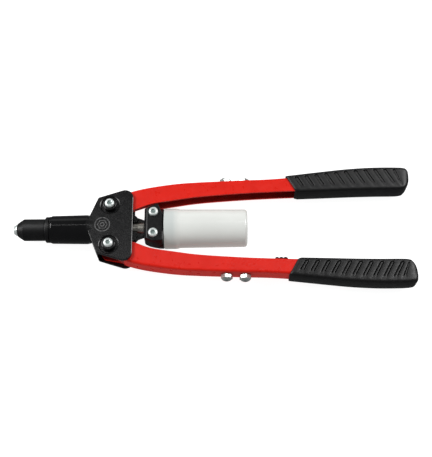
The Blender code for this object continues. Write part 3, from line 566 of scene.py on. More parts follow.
def dress(obj, material, body, slot, *nodes, angle=38.0, weighted=True):
    """Gives a finished piece its material, its body and the CAD nodes that it stands for."""
    if not obj.data.materials:
        obj.data.materials.append(material)
    obj.data.shade_smooth()
    obj.data.set_sharp_from_angle(angle=math.radians(angle))
    if weighted:
        normals = obj.modifiers.new("Flat faces stay flat", "WEIGHTED_NORMAL")
        normals.keep_sharp = True
        evaluated(obj)
    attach(obj, body)
    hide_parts(*nodes)
    return obj


def dress_both(stem, obj, material, slot, node, body, angle=38.0):
    """Dresses a right-hand piece and its mirrored copy. {side} in node and body is filled in."""
    left = mirrored(obj, "left_" + stem)
    obj.name = "right_" + stem
    for side, piece in (("right", obj), ("left", left)):
        dress(piece, material, body.format(side=side), slot, node.format(side=side), angle=angle)


def smooth_line(knots, per_span):
    """A Catmull-Rom curve through the knots."""
    ends = [knots[0]] + list(knots) + [knots[-1]]
    points = []
    for i in range(1, len(ends) - 2):
        p0, p1, p2, p3 = (Vector(p) for p in ends[i - 1:i + 3])
        for k in range(per_span):
            t = k / per_span
            point = 0.5 * (2.0 * p1 + (p2 - p0) * t + (2.0 * p0 - 5.0 * p1 + 4.0 * p2 - p3) * t ** 2
                           + (3.0 * p1 - p0 - 3.0 * p2 + p3) * t ** 3)
            points.append(tuple(point))
    points.append(tuple(knots[-1]))
    return points


def arc(centre, radius, start, end, count):
    """Points on an arc between two angles in degrees."""
    angles = [math.radians(start + (end - start) * i / (count - 1)) for i in range(count)]
    return [(centre[0] + radius * math.cos(a), centre[1] + radius * math.sin(a)) for a in angles]


def in_metres(pairs):
    return [(x * MM, y * MM) for x, y in pairs]


# ---------------------------------------------------------------- nose

def make_nose():
    tip_rear = -205.0 * MM
    shoulder = HOUSING_FRONT_X - GAP
    thread = 6.0 * MM
    hole = 2.1 * MM
    profile = fillet([
        (tip_rear, thread), (shoulder, thread), (shoulder, 6.4 * MM), (-216.4 * MM, 6.1 * MM),
        (TIP_X, 4.4 * MM), (TIP_X, hole + 0.5 * MM), (TIP_X + 0.5 * MM, hole), (tip_rear, hole),
    ], [0.0, 0.0, 0.2 * MM, 1.2 * MM, 0.6 * MM, 0.1 * MM, 0.1 * MM, 0.0], 5)
    dress(lathe("nose_tip", profile, 64, True), zinc, "head", "zinc_plate", "nosepiece")
    seat = thread + GAP
    sleeve_rear = -170.0 * MM
    sleeve_thread = 11.4 * MM
    sleeve_radius = 12.0 * MM
    thread_end = RING_FRONT_X - 0.7 * MM
    nose = [(-207.6 * MM, sleeve_radius), (-210.8 * MM, 9.9 * MM), (-213.6 * MM, 8.0 * MM),
            (HOUSING_FRONT_X, 7.2 * MM)]
    profile = [(sleeve_rear, sleeve_thread), (thread_end, sleeve_thread), (thread_end, sleeve_radius)]
    profile += smooth_line(nose, 6)
    profile += [(HOUSING_FRONT_X, seat), (tip_rear + GAP, seat), (tip_rear + GAP, BORE_RADIUS),
                (sleeve_rear, BORE_RADIUS)]
    dress(lathe("nose_sleeve", profile, 96, True), black_oxide, "head", "black_oxide", "nose_housing",
          angle=14.0)
    ring_rear = BARREL_FRONT_X - GAP
    inner = sleeve_thread + GAP
    outer = 14.2 * MM
    profile = fillet([(ring_rear, outer), (RING_FRONT_X, outer), (RING_FRONT_X, inner),
                      (ring_rear, inner)], [0.4 * MM, 1.2 * MM, 0.2 * MM, 0.2 * MM], 5)
    dress(lathe("locking_ring", profile, 96, True), black_oxide, "head", "black_oxide", "lock_ring")


# ---------------------------------------------------------------- head

def head_outline(inset):
    """The cheeks' plan outline, moved inwards by inset."""
    left = [(HEAD_APEX_X, -4.0 * MM), (HEAD_SHOULDER[0], -HEAD_SHOULDER[1]),
            (HEAD_CORNER[0], -HEAD_CORNER[1])]
    corners = left + [(x, -y) for x, y in reversed(left)]
    radii = [2.0 * MM, 3.0 * MM, 9.0 * MM]
    return fillet(shrunk(corners, inset), radii + radii[::-1], 8)


def pocket_cutter(x, y, sign):
    """The round pocket in a cheek's outer face, with a softened rim."""
    floor = HEAD_HALF - POCKET_DEPTH
    profile = [(REACH, 0.0), (REACH, POCKET_RADIUS + 1.5 * MM),
               (HEAD_HALF + 0.1 * MM, POCKET_RADIUS + 1.1 * MM), (HEAD_HALF - 0.4 * MM, POCKET_RADIUS),
               (floor + 0.3 * MM, POCKET_RADIUS), (floor, POCKET_RADIUS - 0.3 * MM), (floor, 0.0)]
    profile = [(sign * dz, radius) for dz, radius in profile]
    return lathe_about("pocket", profile, Vector((x, y, AXIS_Z)), "Z", 72)


def make_emblem():
    """A generic cast mark: a plain ring round a hexagon outline and a small ring."""
    top = HEAD_HALF + 0.55 * MM
    low = HEAD_HALF - 0.4 * MM
    origin = Vector((EMBLEM_X, 0.0, AXIS_Z))

    def band(outer, inner, steps, name):
        edge = 0.3 * MM
        profile = [(low, outer), (top - edge, outer), (top, outer - edge), (top, inner + edge),
                   (top - edge, inner), (low, inner)]
        return lathe_about(name, profile, origin, "Z", steps, True)

    return [band(8.6 * MM, 7.3 * MM, 72, "ring"), band(5.9 * MM, 4.6 * MM, 6, "hexagon"),
            band(2.7 * MM, 1.4 * MM, 48, "centre")]


def make_head():
    full = head_outline(0.0)
    inset = head_outline(0.6 * MM)
    drop = HEAD_HALF - 0.28 * MM
    head = loft("head_casting", [(inset, -HEAD_HALF), (full, -drop), (full, drop), (inset, HEAD_HALF)])
    root = HEAD_APEX_X + 12.0 * MM
    barrel = lathe("barrel", [
        (root, 0.0), (root, BARREL_RADIUS - 2.0 * MM), (HEAD_APEX_X - 0.8 * MM, BARREL_ROOT_RADIUS),
        (BARREL_FRONT_X + 3.2 * MM, BARREL_RADIUS),
        (BARREL_FRONT_X + 2.6 * MM, BARREL_RADIUS - 0.15 * MM),
        (BARREL_FRONT_X + 2.3 * MM, BARREL_RADIUS - 0.7 * MM),
        (BARREL_FRONT_X + 0.5 * MM, BARREL_RADIUS - 0.8 * MM),
        (BARREL_FRONT_X, BARREL_RADIUS - 1.6 * MM), (BARREL_FRONT_X, 0.0),
    ], 112)
    wide = 60.0 * MM
    slot = prism("slot", [(SLOT_FRONT_X, -wide), (-wide, -wide), (-wide, wide), (SLOT_FRONT_X, wide)],
                 -SLOT_HALF, SLOT_HALF)
    rear, step, front = -110.0 * MM, -169.0 * MM, -190.0 * MM
    thread = 11.7 * MM
    bore = lathe("bore", [(rear, 0.0), (rear, BORE_RADIUS), (step, BORE_RADIUS), (step, thread),
                          (front, thread), (front, 0.0)], 72)
    union(head, barrel)
    cut(head, slot, bore)
    for y in (PIVOT.y, -PIVOT.y):
        cut(head, drill(PIVOT.x, y, PIN_RADIUS + GAP, 48), pocket_cutter(PIVOT.x, y, 1.0),
            pocket_cutter(PIVOT.x, y, -1.0))
    soften(head, 0.5 * MM, 5, 32.0)
    count = len(head.data.polygons)
    head = joined("head_casting", head, *make_emblem())
    for material in (enamel, emblem_painted_highlight, gloss_enamel):
        head.data.materials.append(material)
    # The emblem's faces take the lighter enamel, a painted highlight; the barrel's faces take the gloss
    # enamel.
    for index, face in enumerate(head.data.polygons):
        if index >= count:
            face.material_index = 1
        elif face.center.x < HEAD_APEX_X - 0.5 * MM:
            face.material_index = 2
    dress(head, enamel, "head", "black_paint", "head_body", angle=20.0)


# ---------------------------------------------------------------- screws and bushes

def button_screw(name, place, seat, up, length):
    """A button-head socket screw modelled ring by ring, with a hexagon socket."""
    sign = 1.0 if up else -1.0
    steps = 48
    shank = 2.0 * MM
    socket = 2.5 * MM
    rounded = 1.06
    rings = [(0.0, -length, 0.0), (shank, -length, 0.0), (shank, 0.0, 0.0),
             (SCREW_RADIUS - 0.2 * MM, 0.0, 0.0), (SCREW_RADIUS, 0.15 * MM, 0.0)]
    for inward, share in ((0.0, 0.45), (0.15, 0.66), (0.45, 0.82), (0.9, 0.92), (1.5, 0.98), (2.1, 1.0)):
        rings.append((SCREW_RADIUS - inward * MM, SCREW_HEIGHT * share, 0.0))
    top = SCREW_HEIGHT
    rings += [(socket + 0.35 * MM, top, 0.35), (socket + 0.1 * MM, top - 0.12 * MM, 1.0),
              (socket, top - 0.3 * MM, 1.0), (socket, top - 1.1 * MM, 1.0), (0.0, top - 1.6 * MM, 0.0)]
    bm = bmesh.new()
    made = []
    for radius, height, hexagon in rings:
        ring = []
        for i in range(1 if radius == 0.0 else steps):
            angle = 2.0 * math.pi * i / steps
            reach = radius * (1.0 + hexagon * (hexagon_share(angle) * rounded - 1.0))
            ring.append(bm.verts.new((place.x + reach * math.cos(angle),
                                      place.y + reach * math.sin(angle),
                                      AXIS_Z + seat + sign * height)))
        made.append(ring)
    # The socket's walls and bottom take the darker steel: painted shade.
    for index, (first, second) in enumerate(zip(made, made[1:])):
        for face in bridge(bm, first, second):
            face.material_index = 1 if index >= len(made) - 3 else 0
    obj = new_piece(name, bm)
    obj.data.materials.append(zinc)
    obj.data.materials.append(socket_shadow)
    return obj


def make_pivots():
    for level, sign in (("top", 1.0), ("bottom", -1.0)):
        floor = sign * (HEAD_HALF - POCKET_DEPTH + GAP)
        top = sign * BUSH_TOP
        bore = PIN_RADIUS + GAP
        profile = fillet([(floor, bore), (floor, BUSH_RADIUS), (top, BUSH_RADIUS), (top, bore)],
                         [0.0, 0.2 * MM, 1.1 * MM, 0.2 * MM], 6)
        bush = lathe_about("bush", profile, Vector((*PIVOT, AXIS_Z)), "Z", 64, True)
        dress_both("pivot_collar_" + level, bush, enamel, "black_paint",
                   "{side}_pivot_bush_" + level, "head")
        screw = button_screw("screw", PIVOT, sign * (BUSH_TOP + GAP), sign > 0.0, 7.0 * MM)
        dress_both("pivot_button_" + level, screw, zinc, "zinc_plate",
                   "{side}_pivot_screw_" + level, "head")


# ---------------------------------------------------------------- draw bar

def make_draw_bar():
    half = 3.5 * MM
    right = [(-75.4 * MM, 9.0 * MM), (-85.0 * MM, 12.6 * MM), (-97.0 * MM, 12.6 * MM)]
    left = [(x, -y) for x, y in reversed(right)]
    outline = fillet(left + right, [3.0 * MM, 3.0 * MM, 0.3 * MM, 0.3 * MM, 3.0 * MM, 3.0 * MM], 6)
    block = prism("draw_block", outline, -half, half)
    shank = lathe("shank", [(-88.0 * MM, 0.0), (-88.0 * MM, 6.0 * MM), (-99.0 * MM, SHANK_RADIUS),
                            (-162.0 * MM, SHANK_RADIUS), (-162.0 * MM, 0.0)], 64)
    seat = TUBE_RADIUS + CLEARANCE
    nut_stop, tube_stop, spring_stop = -82.1 * MM, -91.0 * MM, -158.5 * MM
    nut, mandrel, spring = 7.5 * MM, 3.2 * MM, 4.1 * MM
    passage = lathe("passage", [
        (-60.0 * MM, 0.0), (-60.0 * MM, nut), (nut_stop, nut), (nut_stop, seat), (tube_stop, seat),
        (tube_stop, mandrel), (spring_stop, mandrel), (spring_stop, spring), (-180.0 * MM, spring),
        (-180.0 * MM, 0.0),
    ], 64)
    union(block, shank)
    cut(block, passage)
    for y in (CROSSHEAD_PIN.y, -CROSSHEAD_PIN.y):
        cut(block, drill(CROSSHEAD_PIN.x, y, CROSSHEAD_PIN_RADIUS + CLEARANCE, 32))
    soften(block, 0.3 * MM, 2, 35.0)
    dress(block, enamel, "draw", "black_paint", "draw_bar")
    rear, front = -58.0 * MM, -90.7 * MM
    bore = 4.0 * MM
    profile = fillet([(rear, TUBE_RADIUS), (front, TUBE_RADIUS), (front, bore), (rear, bore)],
                     0.25 * MM, 3)
    dress(lathe("mandrel_guide", profile, 80, True), dull_steel, "draw", "bright_steel", "mandrel_tube")
    rear, front = -76.0 * MM, -81.8 * MM
    outer = 7.2 * MM
    profile = fillet([(rear, outer), (front, outer), (front, seat), (rear, seat)],
                     [0.5 * MM, 0.5 * MM, 0.05 * MM, 0.05 * MM], 4)
    dress(lathe("draw_nut", profile, 80, True), dull_steel, "draw", "zinc_plate", "draw_collar")


# ---------------------------------------------------------------- holder and bottle

def make_holder():
    spigot_end = -43.0 * MM
    spigot = 18.8 * MM
    rear, front = -54.0 * MM, -75.0 * MM
    radius = 21.8 * MM
    dome = smooth_line([(-57.5 * MM, radius), (-63.0 * MM, 21.0 * MM), (-69.5 * MM, 19.4 * MM),
                        (-73.2 * MM, 17.4 * MM), (front, 15.0 * MM)], 6)
    edge = 0.4 * MM
    body = lathe("bottle_cup", [
        (spigot_end, 0.0), (spigot_end, spigot - edge), (spigot_end - edge, spigot), (rear, spigot),
        (rear, radius - edge), (rear - edge, radius), *dome, (front, 0.0),
    ], 96)
    pad_rear, pad_side = -54.2 * MM, 8.5 * MM
    wide = (-60.4 * MM, 23.0 * MM)
    radii = [3.0 * MM, 4.0 * MM, 2.0 * MM, 0.3 * MM, 1.2 * MM, 2.0 * MM]

    def plan(lean, inset):
        """The pad's plan outline, its front edge moved back by lean."""
        pad_front = -74.8 * MM + lean
        corners = [(pad_front, -18.0 * MM), (-66.0 * MM, -21.5 * MM), (pad_rear, -21.0 * MM),
                   (pad_rear, pad_side), wide, (pad_front, 18.0 * MM)]
        return fillet(shrunk(corners, inset), radii, 6)

    pad = loft("pad", [(plan(0.0, 0.0), -0.7 * MM), (plan(0.0, 0.0), HOLDER_TOP - 3.2 * MM),
                       (plan(2.2 * MM, 0.2 * MM), HOLDER_TOP - 0.4 * MM),
                       (plan(2.3 * MM, 1.1 * MM), HOLDER_TOP)])
    above = [(-80.0 * MM, -REACH), (pad_rear, -REACH), (pad_rear, pad_side), wide, (wide[0], REACH),
             (-80.0 * MM, REACH)]
    cut(body, prism("above", above, HOLDER_TOP - 1.0 * MM, REACH))
    union(body, pad)
    hole = TUBE_RADIUS + CLEARANCE
    inside, floor = 17.2 * MM, -57.0 * MM
    hollow = lathe("hollow", [(-30.0 * MM, 0.0), (-30.0 * MM, inside), (floor, inside), (floor, hole),
                              (-90.0 * MM, hole), (-90.0 * MM, 0.0)], 64)
    cut(body, hollow)
    for y in (HOLDER_SCREW.y, -HOLDER_SCREW.y):
        cut(body, drill(HOLDER_SCREW.x, y, 2.3 * MM, 32, low=0.0))
    soften(body, 0.35 * MM, 5, 34.0)
    dress(body, satin_enamel, "draw", "black_paint", "bottle_holder", angle=20.0)
    screw = button_screw("screw", HOLDER_SCREW, HOLDER_TOP + GAP, True, 13.0 * MM)
    dress_both("holder_button", screw, zinc, "zinc_plate", "{side}_holder_screw", "draw")


def make_bottle():
    wall = 1.6 * MM
    inner = BOTTLE_RADIUS - wall
    rear_inner = BOTTLE_REAR_RADIUS - wall
    rear = BOTTLE_REAR_X
    dimple = 1.4 * MM
    outer = fillet([(rear - dimple, 0.0), (rear - dimple, 11.5 * MM), (rear, 13.5 * MM),
                    (rear, BOTTLE_REAR_RADIUS), (BOTTLE_COLLAR_X + 3.2 * MM, BOTTLE_RADIUS),
                    (BOTTLE_COLLAR_X - 0.6 * MM, BOTTLE_COLLAR_RADIUS),
                    (BOTTLE_FRONT_X, BOTTLE_COLLAR_RADIUS)],
                   [0.0, 1.5 * MM, 1.5 * MM, 4.6 * MM, 5.0 * MM, 5.0 * MM, 0.0], 8, False)
    profile = outer[:-1] + [(BOTTLE_FRONT_X + 0.5 * MM, BOTTLE_COLLAR_RADIUS),
                            (BOTTLE_FRONT_X, BOTTLE_COLLAR_RADIUS - 0.5 * MM)]
    base = rear - wall
    profile += [(BOTTLE_FRONT_X, inner), (rear - 4.4 * MM, rear_inner),
                (base - 0.4 * MM, rear_inner - 3.0 * MM), (base - 0.2 * MM, 13.0 * MM),
                (base - dimple, 11.0 * MM), (base - dimple, 0.0)]
    dress(lathe("collecting_bottle", profile, 128), milky, "bottle", "milky_plastic", "bottle",
          angle=60.0)


# ---------------------------------------------------------------- arms

ARM_OUTER = in_metres((x, y) for x, y, _ in ARM_STATIONS)
ARM_INNER = in_metres((x, y) for x, _, y in ARM_STATIONS)


def line_at(line, x):
    """The y of a plan line at x, running on past its ends."""
    for (x0, y0), (x1, y1) in zip(line, line[1:]):
        if x <= x1:
            break
    return y0 + (y1 - y0) * (x - x0) / (x1 - x0)


def make_arm():
    outer = smooth_line(ARM_OUTER, 8)
    inner = smooth_line(ARM_INNER, 8)
    nose = arc(PIVOT, 10.5 * MM, -72.0, -245.0, 36)
    arm = prism("channel_arm", nose + outer + list(reversed(inner)), -ARM_HALF, ARM_HALF)
    on_line = {(round(x, 6), round(y, 6)) for x, y in outer}
    levels = (AXIS_Z + ARM_HALF, AXIS_Z - ARM_HALF)

    def outer_edge(edge):
        """Whether an edge runs along the outer line of the top or bottom face."""
        ends = [v.co for v in edge.verts]
        level = any(all(abs(c.z - z) < 0.00001 for c in ends) for z in levels)
        return level and all((round(c.x, 6), round(c.y, 6)) in on_line for c in ends)

    bevel(arm, 3.0 * MM, 6, outer_edge)
    channel = ARM_HALF - SHEET
    beyond = 10.0 * MM
    wall = [(x, y - SHEET) for x, y in smooth_line([(-104.0 * MM, 37.0 * MM)] + ARM_OUTER, 8)]
    past = [(x, y - 12.0 * MM) for x, y in smooth_line(ARM_INNER, 2)]
    wall[-1] = (wall[-1][0] + beyond, wall[-1][1])
    past[-1] = (past[-1][0] + beyond, past[-1][1])
    front = [(-140.0 * MM, 0.0), (-140.0 * MM, 50.0 * MM), (-118.5 * MM, 50.0 * MM)]
    cut(arm, prism("pocket", front + wall + list(reversed(past)), -channel, channel),
        prism("notch", in_metres(ARM_NOTCH), -REACH, -channel + 0.5 * MM))
    for place, radius in ((PIVOT, PIN_RADIUS), (LINK_PIN, LINK_PIN_RADIUS)):
        cut(arm, drill(place.x, place.y, radius + CLEARANCE, 40))
    for x in SPARE_X:
        cut(arm, drill(x, line_at(outer, x), 3.4 * MM, 40, -8.0 * MM, 8.0 * MM, "Y"))
    soften(arm, 0.35 * MM, 2, 40.0)
    arm.data.materials.append(red_paint)
    arm.data.materials.append(channel_painted_shade)
    # Faces inside the channel take the darker red: painted shade.
    for face in arm.data.polygons:
        place = face.center
        web = line_at(outer, min(max(place.x, -97.0 * MM), 199.0 * MM))
        if abs(place.z - AXIS_Z) < channel + 0.05 * MM and place.y < web - 0.6 * SHEET:
            face.material_index = 1
    dress_both("channel_arm", arm, red_paint, "red_paint", "{side}_arm", "{side}_handle", angle=36.0)


def make_spares():
    """Spare nosepieces: a chamfered hexagon with a rounded tip and a shank."""
    bottom = -9.0 * MM
    shank = 3.1 * MM
    corner = 6.6 * MM
    web = smooth_line(ARM_OUTER, 8)
    for index, x in enumerate(SPARE_X):
        seat = line_at(web, x) + 0.5 * MM
        bore = (1.2 + 0.4 * index) * MM
        turn = math.radians((-14.0, 20.0)[index])
        for side, sizes in SPARE_HEIGHTS.items():
            flats, end = (size * MM for size in sizes[index])
            rise = end - flats
            tip = [(flats, 5.4 * MM), (flats + 0.3 * rise, 5.0 * MM), (flats + 0.6 * rise, 4.4 * MM),
                   (flats + 0.88 * rise, 3.5 * MM), (end, 2.6 * MM), (end, bore + 0.2 * MM),
                   (end - 0.3 * MM, bore), (bottom, bore)]
            rings = [(bottom, shank, 0.0), (0.0, shank, 0.0), (0.0, 6.2 * MM, 0.6),
                     (0.35 * MM, corner, 1.0), (flats - 0.5 * MM, corner, 1.0)]
            rings += [(along, radius, 0.0) for along, radius in tip]
            spare = hex_turned("spare", rings, x, seat, turn)
            name = side + "_spare_tip_" + str(index + 1)
            if side == "left":
                right = spare
                spare = mirrored(right, name)
                bpy.data.objects.remove(right, do_unlink=True)
            spare.name = name
            dress(spare, plated_steel, side + "_handle", "zinc_plate",
                  side + "_spare_nosepiece_" + str(index + 1), angle=24.0)


def hex_turned(name, rings, x, seat, turn):
    """A turned piece along +Y. Its rings are (along, radius, 0 for round to 1 for a hexagon)."""
    steps = 48
    bm = bmesh.new()
    made = []
    for along, radius, hexagon in rings:
        ring = []
        for i in range(steps):
            angle = 2.0 * math.pi * i / steps
            reach = radius * (1.0 + hexagon * (hexagon_share(angle) - 1.0))
            place = angle + turn
            ring.append(bm.verts.new((x + reach * math.cos(place), seat + along,
                                      AXIS_Z + reach * math.sin(place))))
        made.append(ring)
    for first, second in zip(made, made[1:] + made[:1]):
        bridge(bm, first, second)
    return new_piece(name, bm)


def make_buffer():
    """A strip of three low rubber bumps."""
    bm = bmesh.new()
    columns = 43
    rows = 17
    x0, x1 = 66.0 * MM, 80.0 * MM
    base, crest = -39.4 * MM, -36.3 * MM
    half = 9.6 * MM
    end = 0.05
    grid = []
    for i in range(columns):
        u = i / (columns - 1)
        rise = 0.55 + 0.45 * abs(math.sin(3.0 * math.pi * u))
        edge = min(1.0, u / end, (1.0 - u) / end)
        column = []
        for k in range(rows):
            v = -1.0 + 2.0 * k / (rows - 1)
            y = base + (crest - base) * rise * math.sqrt(max(0.0, edge)) * (1.0 - v ** 6)
            column.append(bm.verts.new((x0 + (x1 - x0) * u, y, AXIS_Z + half * v)))
        grid.append(column)
    for a, b in zip(grid, grid[1:]):
        for k in range(rows - 1):
            bm.faces.new((a[k], b[k], b[k + 1], a[k + 1]))
    rim = [edge for edge in bm.edges if edge.is_boundary]
    bmesh.ops.holes_fill(bm, edges=rim, sides=0)
    dress(new_piece("left_buffer_strip", bm), rubber, "left_handle", "grip_rubber", "left_stop_buffer",
          angle=60.0)


# ---------------------------------------------------------------- grips

def slot_columns():
    """Each column's place along the outer edge, and its distance past the start of the nearest slot."""
    columns = [(GRIP_OUTER[0][0] * MM, -9.0 * MM), (83.0 * MM, -7.0 * MM)]
    offsets = (-4.0, -2.2, -1.3, -0.9, -0.6, -0.3, 0.0, 0.3, 0.6, 0.9, 1.6, 2.3, 2.6, 2.9, 3.2, 3.5, 3.8,
               4.1, 5.2)
    for i in range(SLOT_COUNT):
        start = SLOT_FIRST_X + i * SLOT_PITCH
        columns += [(start + offset * MM, offset * MM) for offset in offsets]
    return columns


def slot_sink(across, along, length, near_line):
    """How far the surface lies below the grip's face, at a place across a slot and along it.

    near_line is the depth of the line on the slot's first side, as a share of the other's.
    """
    radius = SLOT_WIDTH / 2.0
    aside = across - radius
    if along < radius:
        outside = math.hypot(aside, radius - along) - radius
    else:
        outside = abs(aside) - radius
    line = max(0.0, 1.0 - abs(outside) / SLOT_LINE_HALF) * SLOT_LINE
    if aside < 0.0 and along > radius:
        line *= near_line
    floor = SLOT_FLOOR if outside < 0.0 else 0.0
    fade = min(1.0, max(0.0, (length - along) / (SLOT_FADE * length)))
    rib = RIB_RISE * min(1.0, max(0.0, (outside - SLOT_LINE_HALF) / RIB_RAMP)) ** 0.5
    rib *= min(1.0, max(0.0, along + 2.0 * MM) / RIB_RAMP)
    return max(line, floor) * (3.0 * fade ** 2 - 2.0 * fade ** 3) - rib


def make_grip(name, round_outer):
    """A moulded sleeve: rings across the grip, slanted so that they run along its slots."""
    outer_line = smooth_line(in_metres(GRIP_OUTER), 8)
    inner_line = smooth_line(in_metres(GRIP_INNER), 8)
    bm = bmesh.new()
    rings = []
    depths = []

    def add(a, b, half, radius, across=None):
        """One closed loop from the outer edge over the top face, round and back along the bottom."""
        run = b - a
        width = run.length
        points = []
        sinks = []
        radius = min(radius, half * 0.95, width * 0.4)

        def at(s, dz, sink):
            p = a + run * (s / width)
            return Vector((p.x, p.y, AXIS_Z + dz - sink * (1.0 if dz > 0.0 else -1.0)))

        for sign in (1.0, -1.0):
            flat = []
            depth = []
            for k in range(GRIP_ROWS):
                s = radius + (width - 2.0 * radius) * k / (GRIP_ROWS - 1)
                sink = 0.0
                if across is not None and 0 < k < GRIP_ROWS - 1:
                    along = s - SLOT_OUTER_END if round_outer else width - SLOT_INNER_END - s
                    sink = slot_sink(across, along, width - SLOT_ENDS, 0.5 if round_outer else 1.0)
                flat.append(at(s, sign * half, sink))
                depth.append(sink)
            turns = [math.pi / 2.0 * j / GRIP_CORNER_STEPS for j in range(1, GRIP_CORNER_STEPS)]
            corner = [(radius * math.sin(turn), sign * (half - radius + radius * math.cos(turn)))
                      for turn in turns]
            start = [at(radius - out, dz, 0.0) for out, dz in reversed(corner)]
            finish = [at(width - radius + out, dz, 0.0) for out, dz in corner]
            loop = start + flat + finish
            depth = [0.0] * len(start) + depth + [0.0] * len(finish)
            points += loop if sign > 0.0 else list(reversed(loop))
            sinks += depth if sign > 0.0 else list(reversed(depth))
        rings.append([bm.verts.new(p) for p in points])
        depths.append(sinks)

    def plan(x_out, x_in):
        return (Vector((x_out, line_at(outer_line, x_out), 0.0)),
                Vector((x_in, line_at(inner_line, x_in), 0.0)))

    def slanted(x):
        """The plan line across the grip from its outer edge at x, turning square near the rear end."""
        x_in = x + GRIP_SLANT * (line_at(outer_line, x) - line_at(inner_line, x))
        beyond = x_in - GRIP_SQUARE_X
        if beyond > 0.0:
            x_in = GRIP_SQUARE_X + GRIP_SQUARE_ROOM * (1.0 - math.exp(-beyond / GRIP_SQUARE_ROOM))
        return plan(x, x_in)

    columns = slot_columns()
    a, b = plan(columns[0][0], GRIP_INNER[0][0] * MM)
    arm_outer = smooth_line(ARM_OUTER, 8)
    arm_inner = smooth_line(ARM_INNER, 8)
    for depth_in in (6.0 * MM, 0.4 * MM):
        x_out = a.x + depth_in
        x_in = b.x + depth_in
        add(Vector((x_out, line_at(arm_outer, x_out) + GRIP_LAP, 0.0)),
            Vector((x_in, line_at(arm_inner, x_in) - GRIP_LAP, 0.0)), ARM_HALF + GRIP_LAP, 2.6 * MM)
    toward = (b - a).normalized()
    forward = Vector((0.35 * MM, 0.0, 0.0))
    add(a + toward * 0.9 * MM, b - toward * 2.4 * MM, GRIP_HALF - 0.9 * MM, 2.6 * MM)
    add(a + toward * 0.2 * MM + forward, b - toward * 1.0 * MM + forward, GRIP_HALF - 0.25 * MM,
        3.3 * MM)
    for x, across in columns[1:]:
        add(*slanted(x), GRIP_HALF, GRIP_CORNER, across)
    add(*slanted(210.5 * MM), GRIP_HALF, GRIP_CORNER)
    tail = ((214.8, 67.5, 213.0, 43.0, 0.985, 4.0), (216.6, 66.6, 214.6, 44.4, 0.94, 4.6),
            (217.9, 65.2, 216.2, 46.4, 0.86, 5.2), (218.5, 63.2, 217.3, 48.6, 0.74, 5.6),
            (218.75, 60.0, 218.2, 51.2, 0.56, 6.0), (218.8, 58.4, 218.6, 53.4, 0.34, 4.0))
    for x0, y0, x1, y1, share, radius in tail:
        add(Vector((x0 * MM, y0 * MM, 0.0)), Vector((x1 * MM, y1 * MM, 0.0)), GRIP_HALF * share,
            radius * MM)
    count = len(rings[0])
    # Faces deep in the moulded lines take the near-black rubber: painted shade.
    for row, (first, second) in enumerate(zip(rings, rings[1:])):
        for i in range(count):
            j = (i + 1) % count
            face = bm.faces.new((first[i], first[j], second[j], second[i]))
            depth = (depths[row][i] + depths[row][j] + depths[row + 1][i] + depths[row + 1][j]) / 4.0
            face.material_index = 1 if depth > SLOT_SHADE_DEPTH else 0
    bm.faces.new(rings[-1])
    grip = new_piece(name, bm)
    grip.data.materials.append(rubber)
    grip.data.materials.append(groove_painted_shade)
    return grip


def make_grips():
    right = make_grip("right_moulded_grip", True)
    dress(right, rubber, "right_handle", "grip_rubber", "right_grip", angle=80.0, weighted=False)
    blank = make_grip("blank", False)
    left = mirrored(blank, "left_moulded_grip")
    bpy.data.objects.remove(blank, do_unlink=True)
    dress(left, rubber, "left_handle", "grip_rubber", "left_grip", angle=80.0, weighted=False)


# ---------------------------------------------------------------- CAD nodes that stay, studio and camera

def dress_cad_nodes():
    steel_nodes = ["right_pivot_pin", "left_pivot_pin", "jaw_1", "jaw_2", "jaw_3", "jaw_pusher",
                   "jaw_spring"]
    dark_nodes = ["right_toggle_link_top", "right_toggle_link_bottom", "left_toggle_link_top",
                  "left_toggle_link_bottom", "right_link_pin", "left_link_pin", "right_crosshead_pin",
                  "left_crosshead_pin"]
    nut_nodes = ["jaw_case", "right_weld_nut_1", "right_weld_nut_2", "left_weld_nut_1",
                 "left_weld_nut_2"]
    for names, material in ((steel_nodes, steel), (dark_nodes, enamel), (nut_nodes, dark_steel)):
        for name in names:
            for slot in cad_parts[name].material_slots:
                slot.material = material


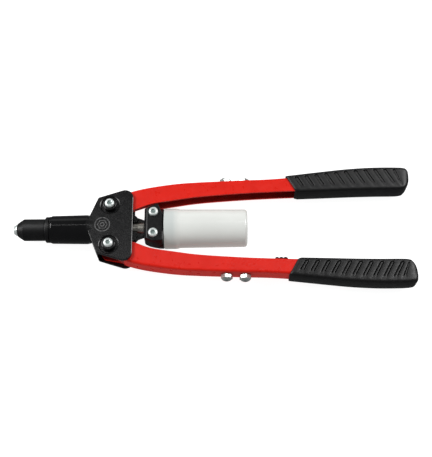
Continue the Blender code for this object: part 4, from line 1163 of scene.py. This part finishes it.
def area_light(name, place, width, height, power):
    """A rectangular light that faces the origin."""
    origin = Vector((0.0, 0.0, 0.0))
    light = bpy.data.lights.new(name, "AREA")
    light.shape = "RECTANGLE"
    light.size = width
    light.size_y = height
    light.energy = power
    obj = bpy.data.objects.new(name, light)
    obj.location = place
    obj.rotation_euler = (origin - Vector(place)).to_track_quat("-Z", "Y").to_euler()
    bpy.context.scene.collection.objects.link(obj)


def make_studio():
    bm = bmesh.new()
    bmesh.ops.create_grid(bm, x_segments=1, y_segments=1, size=6.0)
    floor = new_piece("floor", bm)
    floor.location.z = -0.0002
    floor.data.materials.append(floor_white)
    floor.visible_glossy = False
    world = bpy.data.worlds.new("studio")
    bpy.context.scene.world = world
    world.use_nodes = True
    background = world.node_tree.nodes["Background"]
    background.inputs["Color"].default_value = (0.96, 0.98, 1.0, 1.0)
    background.inputs["Strength"].default_value = 0.12
    area_light("left_softbox", (-0.95, 0.35, 1.1), 0.9, 0.5, 15.5)
    area_light("right_softbox", (0.95, 0.35, 1.1), 0.9, 0.5, 15.5)
    area_light("front_softbox", (-1.3, 0.15, 0.35), 0.5, 0.5, 2.5)
    area_light("back_softbox", (0.0, 1.35, 0.55), 1.8, 0.6, 1.2)
    area_light("back_strip", (0.0, 0.42, 1.36), 1.0, 0.05, 0.5)
    bpy.context.scene.view_settings.view_transform = "Standard"


def make_camera():
    data = bpy.data.cameras.new("camera")
    data.lens = CAMERA_LENS
    camera = bpy.data.objects.new("camera", data)
    back = Vector((0.0, -math.cos(CAMERA_ELEVATION), math.sin(CAMERA_ELEVATION)))
    camera.location = CAMERA_TARGET + back * CAMERA_DISTANCE
    aim = (-back).to_track_quat("-Z", "Y").to_matrix() @ Matrix.Rotation(CAMERA_ROLL, 3, "Z")
    camera.rotation_euler = aim.to_euler()
    bpy.context.scene.collection.objects.link(camera)
    bpy.context.scene.camera = camera


make_camera()
make_studio()
make_nose()
make_head()
make_pivots()
make_draw_bar()
make_holder()
make_bottle()
make_arm()
make_spares()
make_buffer()
make_grips()
dress_cad_nodes()
